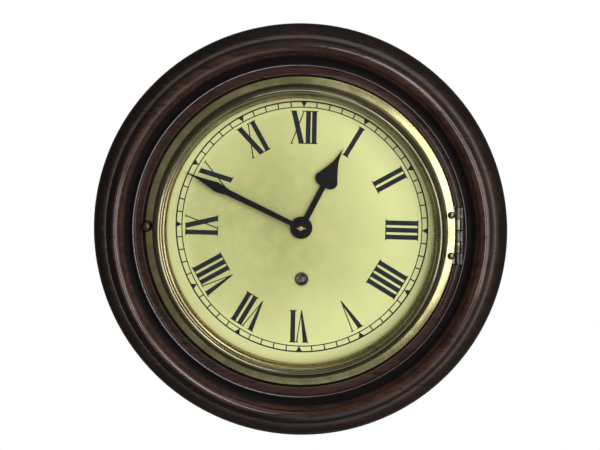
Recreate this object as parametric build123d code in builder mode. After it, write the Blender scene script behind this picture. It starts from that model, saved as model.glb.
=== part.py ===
from build123d import *
from math import atan2, cos, degrees, radians, sin, sqrt
import os

# Round wall dial clock with a turned hardwood surround, a hinged brass bezel and a pendulum movement.
# The origin is on the wall, on the axis of the hands. X runs to the right, Z runs up and the dial
# looks along -Y. Depths are measured forward from the wall.

# Clearances
run_fit = 0.05
body_gap = 0.3
door_gap = 1.5
rod_clearance = 3.9

# Centre of the turned case parts, from the axis of the hands
case_x = -1.5
case_z = -2.8

# Box behind the surround
board = 8.0
box_half_width = 92.0
box_top = 96.0
box_depth = 66.0

# Movement plates
back_plate_depth = 30.0
plate_thickness = 2.5
plate_gap = 32.0
plate_half_width = 42.0
plate_top = 62.0
plate_bottom = -66.0
pillar_radius = 3.0
pillar_inset = 6.5
pillar_nut = 3.6
pillar_nut_height = 2.2
back_plate_front = back_plate_depth + plate_thickness
front_plate_depth = back_plate_front + plate_gap
plate_front = front_plate_depth + plate_thickness

# Dial, which stands on its feet on the front plate
dial_radius = 101.6
dial_thickness = 1.2
dial_stand = 9.8
dial_rebate_gap = 3.6
dial_centre_hole = 5.0
dial_foot_radius = 2.2
dial_foot_ring = 38.0
dial_foot_count = 4
dial_screw_radius = 1.5
dial_screw_edge = 1.7
dial_screw_head = 1.0
dial_back = plate_front + dial_stand
dial_front = dial_back + dial_thickness
dial_rebate_radius = dial_radius + dial_rebate_gap

# Bezel: a flat flange, a roll and a lip over the glass
bezel_flange = 2.5
bezel_flange_width = 6.9
bezel_roll_outside = 4.0
bezel_roll_inside = 2.4
bezel_rise = 12.2
bezel_outer_swell = 1.3
bezel_outer_swell_rise = 8.0
bezel_inner_swell = 0.4
bezel_inner_swell_drop = 1.7
bezel_lip = 2.8
bezel_lip_thickness = 0.8
bezel_land_rise = 2.2
bezel_recess_gap = 0.7
glass_radius = dial_radius
glass_stand = 7.5
glass_thickness = 2.0
sight_ring_cover = 3.6
sight_ring_depth = 5.5
sight_ring_wall = 1.2
bezel_land = dial_front + bezel_land_rise
bezel_back = bezel_land + body_gap
bezel_front = bezel_back + bezel_flange
bezel_crest = bezel_front + bezel_rise
bezel_crest_radius = glass_radius + bezel_roll_inside
bezel_roll_radius = bezel_crest_radius + bezel_roll_outside
bezel_flange_radius = bezel_roll_radius + bezel_flange_width
bezel_lip_radius = glass_radius - bezel_lip
glass_back = bezel_back + glass_stand
sight_ring_inner = glass_radius - sight_ring_cover
recess_radius = bezel_flange_radius + bezel_recess_gap

# Pull knob
knob_angle = 178.2
knob_inset = 2.0
knob_radius = 4.0
knob_neck_radius = 1.9
knob_height = 6.6
knob_neck_height = 2.4
knob_round = 3.0
knob_ring = bezel_flange_radius - knob_inset

# Bezel hinge
hinge_stand = 1.5
hinge_drop = 2.0
hinge_rise = 2.9
hinge_length = 42.0
knuckle_count = 5
knuckle_radius = 2.1
knuckle_gap = 0.3
hinge_pin_radius = 0.9
hinge_leaf = 1.0
hinge_leaf_width = 4.8
hinge_leaf_reach = 3.4
rivet_radius = 2.2
rivet_shank_radius = 1.0
rivet_height = 0.9
rivet_pitch = 30.0
rivet_inset = 4.9
hinge_x = bezel_flange_radius + hinge_stand
hinge_axis_x = case_x + hinge_x
hinge_z = case_z - hinge_drop
hinge_depth = bezel_back + hinge_rise
hinge_pocket_depth = bezel_back - hinge_leaf - body_gap

# Turned surround: from the bezel's recess outwards a band, a bright arris, a hollow slope,
# a roll, a quirk, a bead and the rounded edge, each placed by its share of the moulding's width
surround_radius = 152.4
surround_bore = 84.0
arris_share = 0.182
roll_inner_share = 0.451
roll_outer_share = 0.693
bead_outer_share = 0.859
arris_width = 0.7
quirk_width = 0.8
edge_step = 0.5
back_edge = 1.5
band_rise = 4.4
band_dish = 0.4
arris_rise = 2.6
roll_foot_rise = 5.8
roll_rise = 4.2
slope_hollow = 0.5
slope_hollow_drop = 0.6
quirk_drop = 4.0
bead_rise = 2.8
edge_drop = 6.4
moulding_width = surround_radius - recess_radius
arris_radius = recess_radius + arris_share * moulding_width
roll_inner_radius = recess_radius + roll_inner_share * moulding_width
roll_outer_radius = recess_radius + roll_outer_share * moulding_width
bead_outer_radius = recess_radius + bead_outer_share * moulding_width
band_height = bezel_land + band_rise
arris_height = band_height + arris_rise
roll_foot = band_height + roll_foot_rise
roll_crest = roll_foot + roll_rise
quirk_floor = roll_foot - quirk_drop
bead_crest = quirk_floor + bead_rise
edge_shoulder = quirk_floor - edge_drop

# Hands
hour_angle = 27.7
minute_angle = -64.3
hand_thickness = 0.8
hand_gap = 1.2
hour_hand_stand = 1.8
hour_tip_inset = 35.3
hour_stem = 2.1
hour_neck_share = 0.75
hour_neck_place = 0.6
hour_spade_length = 25.5
hour_spade_shoulder = 6.3
hour_spade_half = 8.6
hour_shoulder_share = 0.82
hour_shoulder_rise = 1.6
hour_flank_share = 0.6
hour_flank_rise = 6.6
hour_hub_radius = 8.2
minute_tip_inset = 5.8
minute_stem = 1.75
minute_stem_outer = 2.3
minute_spade_length = 26.4
minute_spade_shoulder = 9.4
minute_spade_half = 3.7
minute_shoulder_share = 0.84
minute_shoulder_rise = 4.4
minute_flank_share = 0.42
minute_flank_rise = 11.5
minute_hub_radius = 4.6
collet_radius = 3.0
collet_height = 1.8
taper_pin_radius = 0.4
taper_pin_length = 7.0
hour_tip = dial_radius - hour_tip_inset
hour_spade_wide = hour_tip - hour_spade_length
hour_spade_base = hour_spade_wide - hour_spade_shoulder
minute_tip = dial_radius - minute_tip_inset
minute_spade_wide = minute_tip - minute_spade_length
minute_spade_base = minute_spade_wide - minute_spade_shoulder
hour_hand_depth = dial_front + hour_hand_stand
minute_hand_depth = hour_hand_depth + hand_thickness + hand_gap
collet_depth = minute_hand_depth + hand_thickness
taper_pin_depth = collet_depth + collet_height + taper_pin_radius

# Gear train
winding_drop = 38.4
winding_hole_radius = 4.15
winding_square = 4.2
winding_square_inset = 0.6
escape_rise = 34.0
pallet_rise = 50.5
power_module = 0.9
power_wheel_teeth = 48
power_pinion_leaves = 8
centre_module = 0.6
centre_wheel_teeth = 72
third_pinion_leaves = 6
third_module = 0.5
third_wheel_teeth = 66
escape_pinion_leaves = 6
escape_teeth = 35
escape_radius = 11.0
escape_tooth_depth = 2.6
wheel_addendum = 0.8
wheel_dedendum = 1.2
pinion_addendum = 0.5
pinion_dedendum = 1.35
leaf_root_share = 0.18
leaf_tip_share = 0.11
wheel_thickness = 1.4
pinion_face = 3.4
pinion_shoulder = 1.2
pinion_margin = 1.0
barrel_arbor_radius = 2.55
centre_arbor_radius = 1.6
power_arbor_radius = 1.4
train_arbor_radius = 0.9
escape_arbor_radius = 0.75
centre_wheel_stand = 1.9
third_wheel_stand = 11.5
escape_wheel_stand = 19.5
power_wheel_inset = 4.3
barrel_stand = 5.5
barrel_front_gap = 2.0
barrel_radius = 19.6
barrel_wall = 1.0
spring_gap = 0.6
ratchet_teeth = 24
ratchet_radius = 10.0
ratchet_tooth_depth = 1.4
ratchet_thickness = 2.0
ratchet_lead = 0.15
click_tooth = 7
click_ring = 15.0
click_angle = 150.0
click_hub_radius = 2.4
click_nose_overlap = 1.4
click_nose_start = 1.2
click_nose_end = 0.9
click_belly_turn = 14.0
click_shoulder_turn = 3.0
click_back_turn = 6.0
click_spring_ring = 21.0
click_spring_foot = 5.0
click_spring_blade = 0.5
click_spring_foot_turn = 22.0
click_spring_middle_turn = 4.0
click_spring_end_turn = 12.0
click_spring_end_gap = 1.4
post_radius = 1.2
wheel_arms = 5
wheel_rim = 3.2
arm_width = 2.0
escape_lead = 0.3
anchor_clearance = 0.3
anchor_hub_radius = 3.0
winding_square_end = dial_front - winding_square_inset
centre_wheel_depth = back_plate_front + centre_wheel_stand
third_wheel_depth = back_plate_front + third_wheel_stand
escape_wheel_depth = back_plate_front + escape_wheel_stand
power_wheel_depth = front_plate_depth - power_wheel_inset
barrel_back = back_plate_front + barrel_stand
barrel_front = power_wheel_depth - barrel_front_gap

# Motion work behind the dial
motion_gap = 0.8
motion_module = 0.7
cannon_leaves = 12
minute_wheel_teeth = 36
minute_pinion_leaves = 10
hour_wheel_teeth = 40
cannon_radius = 2.6
hour_pipe_radius = 3.6
motion_wheel = 1.2
ratchet_depth = plate_front + motion_gap

# Escapement and pendulum
pallet_arbor_radius = 1.0
anchor_thickness = 2.0
pallet_ring = 12.1
pallet_spread = 50.0
anchor_arm = 1.6
anchor_belly_share = 1.6
crutch_stand = 3.8
crutch_thickness = 1.5
crutch_width = 3.0
fork_drop = 48.0
fork_length = 6.0
fork_wall = 1.6
cock_thickness = 2.0
cock_stand = 7.0
cock_half_width = 17.0
cock_leg = 5.0
cock_height = 13.0
chops_width = 10.0
chops_slot = 1.4
suspension_thickness = 0.3
suspension_width = 5.0
suspension_top = 4.0
suspension_drop = 9.0
pendulum_stand = 10.0
rod_radius = 1.5
pendulum_length = 150.9
bob_radius = 23.0
bob_thickness = 12.0
bob_rim = 3.0
rating_nut_radius = 4.0
rating_nut_height = 3.0
rod_tail = 5.5
crutch_depth = back_plate_depth - crutch_stand
cock_depth = back_plate_depth - cock_stand
pendulum_depth = back_plate_depth - pendulum_stand
bob_z = pallet_rise - pendulum_length
rod_end = bob_z - bob_radius - rating_nut_height - rod_tail

# The bottom of the box curves round the end of the pendulum rod
bottom_inner_radius = case_z - rod_end + rod_clearance
box_bottom_radius = bottom_inner_radius + board

# Doors, their hinges and turn buttons
side_door_height = 84.0
side_door_rail = 17.5
door_back = 16.5
bottom_door_angle = 13.0
bottom_door_rail = 11.5
door_knuckle_radius = 1.6
door_pin_radius = 0.6
door_leaf = 1.0
door_leaf_width = 7.0
side_hinge_length = 14.0
side_hinge_offset = 26.0
bottom_hinge_length = 22.0
button_length = 16.0
button_width = 6.0
button_thickness = 1.6
button_screw_radius = 1.2
button_screw_head = 2.2
side_door_width = box_depth - door_back - side_door_rail
bottom_door_width = box_depth - door_back - bottom_door_rail

# Fixings of the box
block_width = 14.0
block_depth = 12.0
block_height = 28.0
peg_size = 6.0
peg_offset = 60.0
peg_stand = 3.0
hanger_width = 26.0
hanger_height = 44.0
hanger_thickness = 2.5
hanger_overlap = 18.0
hanger_hole_radius = 4.5


def face(depth, x=0.0, z=0.0):
    """Upright plane that looks forward, with its origin at x, z."""
    return Plane(origin=(x, -depth, z), x_dir=(1, 0, 0), z_dir=(0, -1, 0))


def section(x=0.0, z=0.0):
    """Plane for half sections: its x is the radius and its y is the depth."""
    return Plane(origin=(x, 0, z), x_dir=(1, 0, 0), z_dir=(0, 0, -1))


def hand_face(depth, angle):
    """Upright plane whose y runs along a hand that is turned clockwise by angle."""
    turn = radians(angle)
    return Plane(origin=(0, -depth, 0), x_dir=(cos(turn), 0, -sin(turn)), z_dir=(0, -1, 0))


def spindle(x=0.0, z=0.0):
    """Axis from front to back through x, z."""
    return Axis((x, 0, z), (0, 1, 0))


def polar(radius, angle):
    return (radius * cos(radians(angle)), radius * sin(radians(angle)))


def meeting_point(lower_z, upper_z, from_lower, from_upper):
    """Arbor beside the centre line, at set distances from two arbors that are on it."""
    rise = upper_z - lower_z
    along = (from_lower**2 - from_upper**2 + rise**2) / (2 * rise)
    return (sqrt(from_lower**2 - along**2), lower_z + along)


def wheel_outline(teeth, module, phase):
    """Pointed wheel teeth on the pitch circle of radius module * teeth / 2."""
    pitch = 360 / teeth
    points = []
    for tooth in range(teeth):
        points.append(polar(module * (teeth / 2 + wheel_addendum), phase + tooth * pitch))
        points.append(polar(module * (teeth / 2 - wheel_dedendum), phase + (tooth + 0.5) * pitch))
    return points


def pinion_outline(leaves, module, phase):
    """Narrow leaves with flat tips, cut deep enough for the wheel's points."""
    pitch = 360 / leaves
    root = module * (leaves / 2 - pinion_dedendum)
    tip = module * (leaves / 2 + pinion_addendum)
    points = []
    for leaf in range(leaves):
        middle = phase + leaf * pitch
        points.append(polar(root, middle - leaf_root_share * pitch))
        points.append(polar(tip, middle - leaf_tip_share * pitch))
        points.append(polar(tip, middle + leaf_tip_share * pitch))
        points.append(polar(root, middle + leaf_root_share * pitch))
    return points


def raked_outline(teeth, tip, depth, lead):
    """Saw-shaped teeth for the escape wheel and the ratchet."""
    pitch = 360 / teeth
    points = []
    for tooth in range(teeth):
        points.append(polar(tip, tooth * pitch))
        points.append(polar(tip - depth, (tooth + lead) * pitch))
    return points


def meshed_phase(driver, driver_teeth, driver_phase, driven, driven_teeth):
    """Angle that puts a gap of the driven wheel opposite the driver's tooth."""
    line = degrees(atan2(driven[1] - driver[1], driven[0] - driver[0]))
    ahead = (driver_phase - line) * driver_teeth / 360
    return line + 180 - (ahead - 0.5) * 360 / driven_teeth


def window_outline(inner, outer, arms, arm_width, number):
    """One opening between two arms of a crossed-out wheel."""
    middle = (number + 0.5) * 360 / arms
    low = 180 / arms - degrees(arm_width / 2 / inner)
    high = 180 / arms - degrees(arm_width / 2 / outer)
    sides = [(inner, -low), (outer, -high), (outer, high), (inner, low)]
    return [polar(radius, middle + angle) for radius, angle in sides]


# Arbors of the train, as x and z
centre_arbor_at = (0.0, 0.0)
barrel_arbor_at = (0.0, -winding_drop)
escape_arbor_at = (0.0, escape_rise)
pallet_arbor_at = (0.0, pallet_rise)
power_distance = power_module * (power_wheel_teeth + power_pinion_leaves) / 2
centre_third = centre_module * (centre_wheel_teeth + third_pinion_leaves) / 2
third_escape = third_module * (third_wheel_teeth + escape_pinion_leaves) / 2
intermediate_at = meeting_point(-winding_drop, 0.0, power_distance, power_distance)
third_at = meeting_point(0.0, escape_rise, centre_third, third_escape)
minute_distance = motion_module * (cannon_leaves + minute_wheel_teeth) / 2
minute_post_at = (-minute_distance, 0.0)
hour_module = 2 * minute_distance / (minute_pinion_leaves + hour_wheel_teeth)

# Tooth positions that leave every pair in mesh
intermediate_phase = meshed_phase(
    centre_arbor_at, power_pinion_leaves, 0.0, intermediate_at, power_wheel_teeth
)
barrel_phase = meshed_phase(
    intermediate_at, power_pinion_leaves, 0.0, barrel_arbor_at, power_wheel_teeth
)
third_phase = meshed_phase(centre_arbor_at, centre_wheel_teeth, 0.0, third_at, third_pinion_leaves)
escape_phase = meshed_phase(third_at, third_wheel_teeth, 0.0, escape_arbor_at, escape_pinion_leaves)
minute_phase = meshed_phase(
    centre_arbor_at, cannon_leaves, 0.0, minute_post_at, minute_wheel_teeth
)
hour_phase = meshed_phase(
    minute_post_at, minute_pinion_leaves, 0.0, centre_arbor_at, hour_wheel_teeth
)

os.makedirs("parts", exist_ok=True)

# Surround: one turned ring with a roll, a bead and a rebate for the dial
recess_floor = (recess_radius, bezel_land)
band_inner = (recess_radius, band_height)
band_outer = (arris_radius - arris_width / 2, band_height)
arris_inner = (arris_radius - arris_width / 2, arris_height)
arris_outer = (arris_radius + arris_width / 2, arris_height)
roll_inner = (roll_inner_radius, roll_foot)
roll_outer = (roll_outer_radius, roll_foot)
bead_inner = (roll_outer_radius + quirk_width, quirk_floor)
bead_outer = (bead_outer_radius, quirk_floor)
edge_top = (bead_outer_radius + edge_step, quirk_floor - edge_step)
edge_side = (surround_radius, edge_shoulder)
with BuildPart() as surround:
    with BuildSketch(section(case_x, case_z)):
        with BuildLine():
            Polyline(
                (surround_radius - back_edge, box_depth),
                (surround_bore, box_depth),
                (surround_bore, dial_back),
                (dial_rebate_radius, dial_back),
                (dial_rebate_radius, bezel_land),
                recess_floor,
                band_inner,
            )
            band_middle = ((recess_radius + arris_radius) / 2, band_height - band_dish)
            ThreePointArc(band_inner, band_middle, band_outer)
            Polyline(band_outer, arris_inner, arris_outer)
            slope_middle = (
                (arris_radius + roll_inner_radius) / 2 + slope_hollow,
                (arris_height + roll_foot) / 2 - slope_hollow_drop,
            )
            ThreePointArc(arris_outer, slope_middle, roll_inner)
            roll_middle = ((roll_inner_radius + roll_outer_radius) / 2, roll_crest)
            ThreePointArc(roll_inner, roll_middle, roll_outer)
            Polyline(roll_outer, (roll_outer_radius, quirk_floor), bead_inner)
            bead_middle = ((bead_inner[0] + bead_outer[0]) / 2, bead_crest)
            ThreePointArc(bead_inner, bead_middle, bead_outer)
            Line(bead_outer, edge_top)
            TangentArc(edge_side, edge_top, tangent=(0, 1))
            Polyline(
                edge_side,
                (surround_radius, box_depth + back_edge),
                (surround_radius - back_edge, box_depth),
            )
        make_face()
    revolve(axis=spindle(case_x, case_z))
    # Pocket for the bezel hinge, open to the bezel's recess
    pocket_left = hinge_x - knuckle_radius - hinge_leaf_width - 2 * body_gap
    pocket_right = hinge_x + hinge_leaf_reach
    with BuildSketch(face(hinge_pocket_depth, case_x, hinge_z)):
        with Locations(((pocket_left + pocket_right) / 2, 0)):
            Rectangle(pocket_right - pocket_left, hinge_length + 2 * body_gap)
    extrude(amount=2 * (band_height - bezel_land), mode=Mode.SUBTRACT)
surround.part.label = "surround"
export_step(surround.part, "parts/surround.step")

# Box: top, sides and a curved bottom, with the backboard behind
side_inner = box_half_width - board
opening_half_height = side_door_height / 2 + door_gap
opening_back = door_back - door_gap / 2
opening_front = door_back + side_door_width + door_gap

with BuildPart() as backboard:
    with BuildSketch(face(0, case_x, case_z)):
        Circle(box_bottom_radius)
        with Locations((0, (box_top - box_bottom_radius) / 2)):
            Rectangle(2 * box_half_width, box_top + box_bottom_radius, mode=Mode.INTERSECT)
    extrude(amount=board)
    with BuildSketch(face(0, case_x, case_z)):
        with Locations((0, box_top - hanger_overlap / 2)):
            Rectangle(hanger_width, hanger_overlap)
    extrude(amount=hanger_thickness, mode=Mode.SUBTRACT)
backboard.part.label = "backboard"
export_step(backboard.part, "parts/backboard.step")

with BuildPart() as case_top:
    with BuildSketch(face(board, case_x, case_z)):
        with Locations((0, box_top - board / 2)):
            Rectangle(2 * box_half_width, board)
    extrude(amount=box_depth - board)
case_top.part.label = "case_top"
export_step(case_top.part, "parts/case_top.step")

for side, side_name in ((-1, "case_left_side"), (1, "case_right_side")):
    with BuildPart() as case_side:
        with BuildSketch(face(board, case_x, case_z)):
            Circle(bottom_inner_radius)
            with Locations((side * (side_inner + board / 2), (box_top - board - box_bottom_radius) / 2)):
                Rectangle(board, box_top - board + box_bottom_radius, mode=Mode.INTERSECT)
        extrude(amount=box_depth - board)
        # Square holes for the pegs that hold the surround
        peg_hole = Plane(origin=(case_x + side * side_inner, 0, case_z), x_dir=(0, -1, 0), z_dir=(1, 0, 0))
        with BuildSketch(peg_hole):
            for height in (-peg_offset, peg_offset):
                with Locations((box_depth - block_depth / 2, -height)):
                    Rectangle(peg_size, peg_size)
        extrude(amount=side * board, mode=Mode.SUBTRACT)
        if side > 0:
            with BuildSketch(peg_hole):
                with Locations(((opening_back + opening_front) / 2, 0)):
                    Rectangle(opening_front - opening_back, 2 * opening_half_height)
            extrude(amount=side * board, mode=Mode.SUBTRACT)
    case_side.part.label = side_name
    export_step(case_side.part, f"parts/{side_name}.step")

bottom_opening_angle = bottom_door_angle + degrees(door_gap / 2 / box_bottom_radius)
bottom_front = door_back + bottom_door_width + door_gap
with BuildPart() as case_bottom:
    with BuildSketch(face(board, case_x, case_z)):
        Circle(box_bottom_radius)
        Circle(bottom_inner_radius, mode=Mode.SUBTRACT)
        with Locations((0, -box_bottom_radius)):
            Rectangle(2 * box_half_width, box_bottom_radius, mode=Mode.INTERSECT)
    extrude(amount=box_depth - board)
    with BuildSketch(face(opening_back, case_x, case_z)):
        reach = 2 * box_bottom_radius
        Polygon(
            (0, 0),
            polar(reach, -90 - bottom_opening_angle),
            polar(reach, -90 + bottom_opening_angle),
            align=None,
        )
    extrude(amount=bottom_front - opening_back, mode=Mode.SUBTRACT)
case_bottom.part.label = "case_bottom"
export_step(case_bottom.part, "parts/case_bottom.step")

# Four blocks on the back of the surround, pegged to the sides of the box
with BuildPart() as surround_blocks:
    with BuildSketch(face(box_depth - block_depth, case_x, case_z)):
        for side in (-1, 1):
            for level in (-1, 1):
                with Locations((side * (side_inner - block_width / 2), level * peg_offset)):
                    Rectangle(block_width, block_height)
    extrude(amount=block_depth)
    with BuildSketch(Plane.YZ.offset(case_x - side_inner)):
        for level in (-1, 1):
            with Locations((block_depth / 2 - box_depth, case_z + level * peg_offset)):
                Rectangle(peg_size, peg_size)
    extrude(amount=2 * side_inner, mode=Mode.SUBTRACT)
surround_blocks.part.label = "surround_blocks"
export_step(surround_blocks.part, "parts/surround_blocks.step")

with BuildPart() as case_pegs:
    for side in (-1, 1):
        with BuildSketch(Plane.YZ.offset(case_x + side * (side_inner - block_width))):
            for level in (-1, 1):
                with Locations((block_depth / 2 - box_depth, case_z + level * peg_offset)):
                    Rectangle(peg_size, peg_size)
        extrude(amount=side * (block_width + board + peg_stand))
case_pegs.part.label = "case_pegs"
export_step(case_pegs.part, "parts/case_pegs.step")

# Hanging plate let into the back of the backboard
with BuildPart() as hanging_plate:
    with BuildSketch(face(0, case_x, case_z)):
        with Locations((0, box_top - hanger_overlap + hanger_height / 2)):
            Rectangle(hanger_width, hanger_height)
        hanger_hole_z = box_top - hanger_overlap + hanger_height - hanger_width / 2
        with Locations((0, hanger_hole_z)):
            Circle(hanger_hole_radius, mode=Mode.SUBTRACT)
    extrude(amount=hanger_thickness)
    fillet(hanging_plate.edges().filter_by(Axis.Y).group_by(Axis.Z)[-1], radius=hanger_width / 4)
hanging_plate.part.label = "hanging_plate"
export_step(hanging_plate.part, "parts/hanging_plate.step")

# Side door with its hinges and turn button
with BuildPart() as side_door:
    with BuildSketch(face(door_back, case_x, case_z)):
        with Locations((side_inner + board / 2, 0)):
            Rectangle(board, side_door_height)
    extrude(amount=side_door_width)
side_door.part.label = "side_door"
export_step(side_door.part, "parts/side_door.step")


def hinge_half(surface, length, spans, leaf_side):
    """Leaf and knuckles on a board: surface x points out of the board, y forward, z along the pin."""
    leaf_start = door_knuckle_radius + body_gap
    with BuildPart() as half:
        with BuildSketch(surface.offset(-length / 2)):
            with Locations((door_leaf / 2, leaf_side * (leaf_start + door_leaf_width) / 2)):
                Rectangle(door_leaf, door_leaf_width - leaf_start)
        extrude(amount=length)
        for start, end in spans:
            with BuildSketch(surface.offset(start)):
                with Locations((door_knuckle_radius, 0)):
                    Circle(door_knuckle_radius)
                with Locations((door_leaf / 2, leaf_side * leaf_start / 2)):
                    Rectangle(door_leaf, leaf_start)
                with Locations((door_knuckle_radius, 0)):
                    Circle(door_pin_radius + run_fit, mode=Mode.SUBTRACT)
            extrude(amount=end - start)
    return half.part


def side_surface(rise):
    """Plane on the right side of the box, at the back edge of the side door."""
    return Plane(
        origin=(case_x + box_half_width, -door_back, case_z + rise),
        x_dir=(1, 0, 0),
        z_dir=(0, 0, -1),
    )


bottom_surface = Plane(
    origin=(case_x, -door_back, case_z - box_bottom_radius), x_dir=(0, 0, -1), z_dir=(-1, 0, 0)
)


def outer_spans(length):
    """The two end knuckles, which belong to the fixed leaf."""
    inner = length / 6 + knuckle_gap / 2
    return [(-length / 2, -inner), (inner, length / 2)]


def middle_span(length):
    """The middle knuckle, which belongs to the door."""
    inner = length / 6 - knuckle_gap / 2
    return [(-inner, inner)]


side_hinge_rises = (-side_hinge_offset, side_hinge_offset)
with BuildPart() as door_hinge_fixed_leaves:
    for rise in side_hinge_rises:
        add(hinge_half(side_surface(rise), side_hinge_length, outer_spans(side_hinge_length), -1))
    add(hinge_half(bottom_surface, bottom_hinge_length, outer_spans(bottom_hinge_length), -1))
door_hinge_fixed_leaves.part.label = "door_hinge_fixed_leaves"
export_step(door_hinge_fixed_leaves.part, "parts/door_hinge_fixed_leaves.step")

with BuildPart() as side_door_leaves:
    for rise in side_hinge_rises:
        add(hinge_half(side_surface(rise), side_hinge_length, middle_span(side_hinge_length), 1))
side_door_leaves.part.label = "side_door_leaves"
export_step(side_door_leaves.part, "parts/side_door_leaves.step")

with BuildPart() as bottom_door_leaf:
    add(hinge_half(bottom_surface, bottom_hinge_length, middle_span(bottom_hinge_length), 1))
bottom_door_leaf.part.label = "bottom_door_leaf"
export_step(bottom_door_leaf.part, "parts/bottom_door_leaf.step")

with BuildPart() as door_hinge_pins:
    pin_planes = [(side_surface(rise), side_hinge_length) for rise in side_hinge_rises]
    for pin_plane, pin_length in pin_planes + [(bottom_surface, bottom_hinge_length)]:
        with BuildSketch(pin_plane.offset(-pin_length / 2)):
            with Locations((door_knuckle_radius, 0)):
                Circle(door_pin_radius)
        extrude(amount=pin_length)
door_hinge_pins.part.label = "door_hinge_pins"
export_step(door_hinge_pins.part, "parts/door_hinge_pins.step")

# Bottom door: a piece of the curved bottom
with BuildPart() as bottom_door:
    with BuildSketch(face(door_back, case_x, case_z)):
        Circle(box_bottom_radius)
        Circle(bottom_inner_radius, mode=Mode.SUBTRACT)
        Polygon(
            (0, 0),
            polar(reach, -90 - bottom_door_angle),
            polar(reach, -90 + bottom_door_angle),
            align=None,
            mode=Mode.INTERSECT,
        )
    extrude(amount=bottom_door_width)
bottom_door.part.label = "bottom_door"
export_step(bottom_door.part, "parts/bottom_door.step")

# Turn buttons stand clear of the doors and turn over their front edges
button_pivot_inset = button_width / 2 + door_gap
side_button_plane = Plane(
    origin=(case_x + box_half_width, -(opening_front + button_pivot_inset), case_z),
    x_dir=(0, 0, 1),
    z_dir=(1, 0, 0),
)
bottom_button_plane = Plane(
    origin=(case_x, -(bottom_front + button_pivot_inset), case_z - box_bottom_radius),
    x_dir=(1, 0, 0),
    z_dir=(0, 0, -1),
)
for button_name, button_plane in (
    ("side_turn_button", side_button_plane),
    ("bottom_turn_button", bottom_button_plane),
):
    with BuildPart() as turn_button:
        with BuildSketch(button_plane.offset(body_gap)):
            with Locations((button_length / 2 - button_width / 2, 0)):
                Rectangle(button_length, button_width)
            Circle(button_screw_radius + run_fit, mode=Mode.SUBTRACT)
        extrude(amount=button_thickness)
    turn_button.part.label = button_name
    export_step(turn_button.part, f"parts/{button_name}.step")

with BuildPart() as turn_button_screws:
    for button_plane in (side_button_plane, bottom_button_plane):
        with BuildSketch(button_plane):
            Circle(button_screw_radius)
        extrude(amount=body_gap + button_thickness + run_fit)
        with BuildSketch(button_plane.offset(body_gap + button_thickness + run_fit)):
            Circle(button_screw_head)
        extrude(amount=button_thickness / 2)
turn_button_screws.part.label = "turn_button_screws"
export_step(turn_button_screws.part, "parts/turn_button_screws.step")

# Dial with its feet, which stand on the front plate
with BuildPart() as dial_plate:
    with BuildSketch(face(dial_back)):
        Circle(dial_radius)
        Circle(dial_centre_hole, mode=Mode.SUBTRACT)
        with Locations(barrel_arbor_at):
            Circle(winding_hole_radius, mode=Mode.SUBTRACT)
    extrude(amount=dial_thickness)
    with BuildSketch(face(plate_front)):
        with PolarLocations(dial_foot_ring, dial_foot_count, start_angle=180 / dial_foot_count):
            Circle(dial_foot_radius)
    extrude(amount=dial_back - plate_front)
dial_plate.part.label = "dial_plate"
export_step(dial_plate.part, "parts/dial_plate.step")

# Dial screws, on the side where the sight ring covers the dial most
dial_shift_angle = degrees(atan2(-case_z, -case_x))
with BuildPart() as dial_screws:
    with BuildSketch(face(dial_front)):
        for turn in (-90, 0, 90):
            with Locations(polar(dial_radius - dial_screw_edge, dial_shift_angle + turn)):
                Circle(dial_screw_radius)
    extrude(amount=dial_screw_head)
dial_screws.part.label = "dial_screws"
export_step(dial_screws.part, "parts/dial_screws.step")

# Bezel: a turned brass ring with a flat flange, a roll and a slope down to the glass
lip_height = glass_back + glass_thickness
lip_top = lip_height + bezel_lip_thickness
glass_seat_radius = glass_radius + run_fit
roll_top = (bezel_crest_radius, bezel_crest)
with BuildPart() as bezel:
    with BuildSketch(section(case_x, case_z)):
        with BuildLine():
            roll_foot_point = (bezel_roll_radius, bezel_front)
            lip_point = (bezel_lip_radius, lip_height)
            Polyline(
                roll_foot_point,
                (bezel_flange_radius, bezel_front),
                (bezel_flange_radius, bezel_back),
                (glass_seat_radius, bezel_back),
                (glass_seat_radius, lip_height),
                lip_point,
                (bezel_lip_radius, lip_top),
            )
            outer_swell = (
                (bezel_roll_radius + bezel_crest_radius) / 2 + bezel_outer_swell,
                bezel_front + bezel_outer_swell_rise,
            )
            inner_swell = (
                (bezel_lip_radius + bezel_crest_radius) / 2 + bezel_inner_swell,
                bezel_crest - bezel_inner_swell_drop,
            )
            ThreePointArc(roll_foot_point, outer_swell, roll_top)
            ThreePointArc(roll_top, inner_swell, (bezel_lip_radius, lip_top))
        make_face()
    revolve(axis=spindle(case_x, case_z))
    # Flat on the flange beside the hinge knuckles, and the rivet holes
    with BuildSketch(face(bezel_back, case_x, hinge_z)):
        flat_left = hinge_x - knuckle_radius - body_gap / 2
        with Locations((flat_left + knuckle_radius, 0)):
            Rectangle(2 * knuckle_radius, hinge_length + 2 * body_gap)
        for rise in (-rivet_pitch / 2, rivet_pitch / 2):
            with Locations((hinge_x - rivet_inset, rise)):
                Circle(rivet_shank_radius)
    extrude(amount=bezel_flange, mode=Mode.SUBTRACT)
    knob_x, knob_z = polar(knob_ring, knob_angle)
    with BuildSketch(face(bezel_back, case_x + knob_x, case_z + knob_z)):
        Circle(knob_neck_radius / 2)
    extrude(amount=bezel_flange, mode=Mode.SUBTRACT)
bezel.part.label = "bezel"
export_step(bezel.part, "parts/bezel.step")

with BuildPart() as bezel_glass:
    with BuildSketch(face(glass_back, case_x, case_z)):
        Circle(glass_radius)
    extrude(amount=glass_thickness)
bezel_glass.part.label = "bezel_glass"
export_step(bezel_glass.part, "parts/bezel_glass.step")

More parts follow.
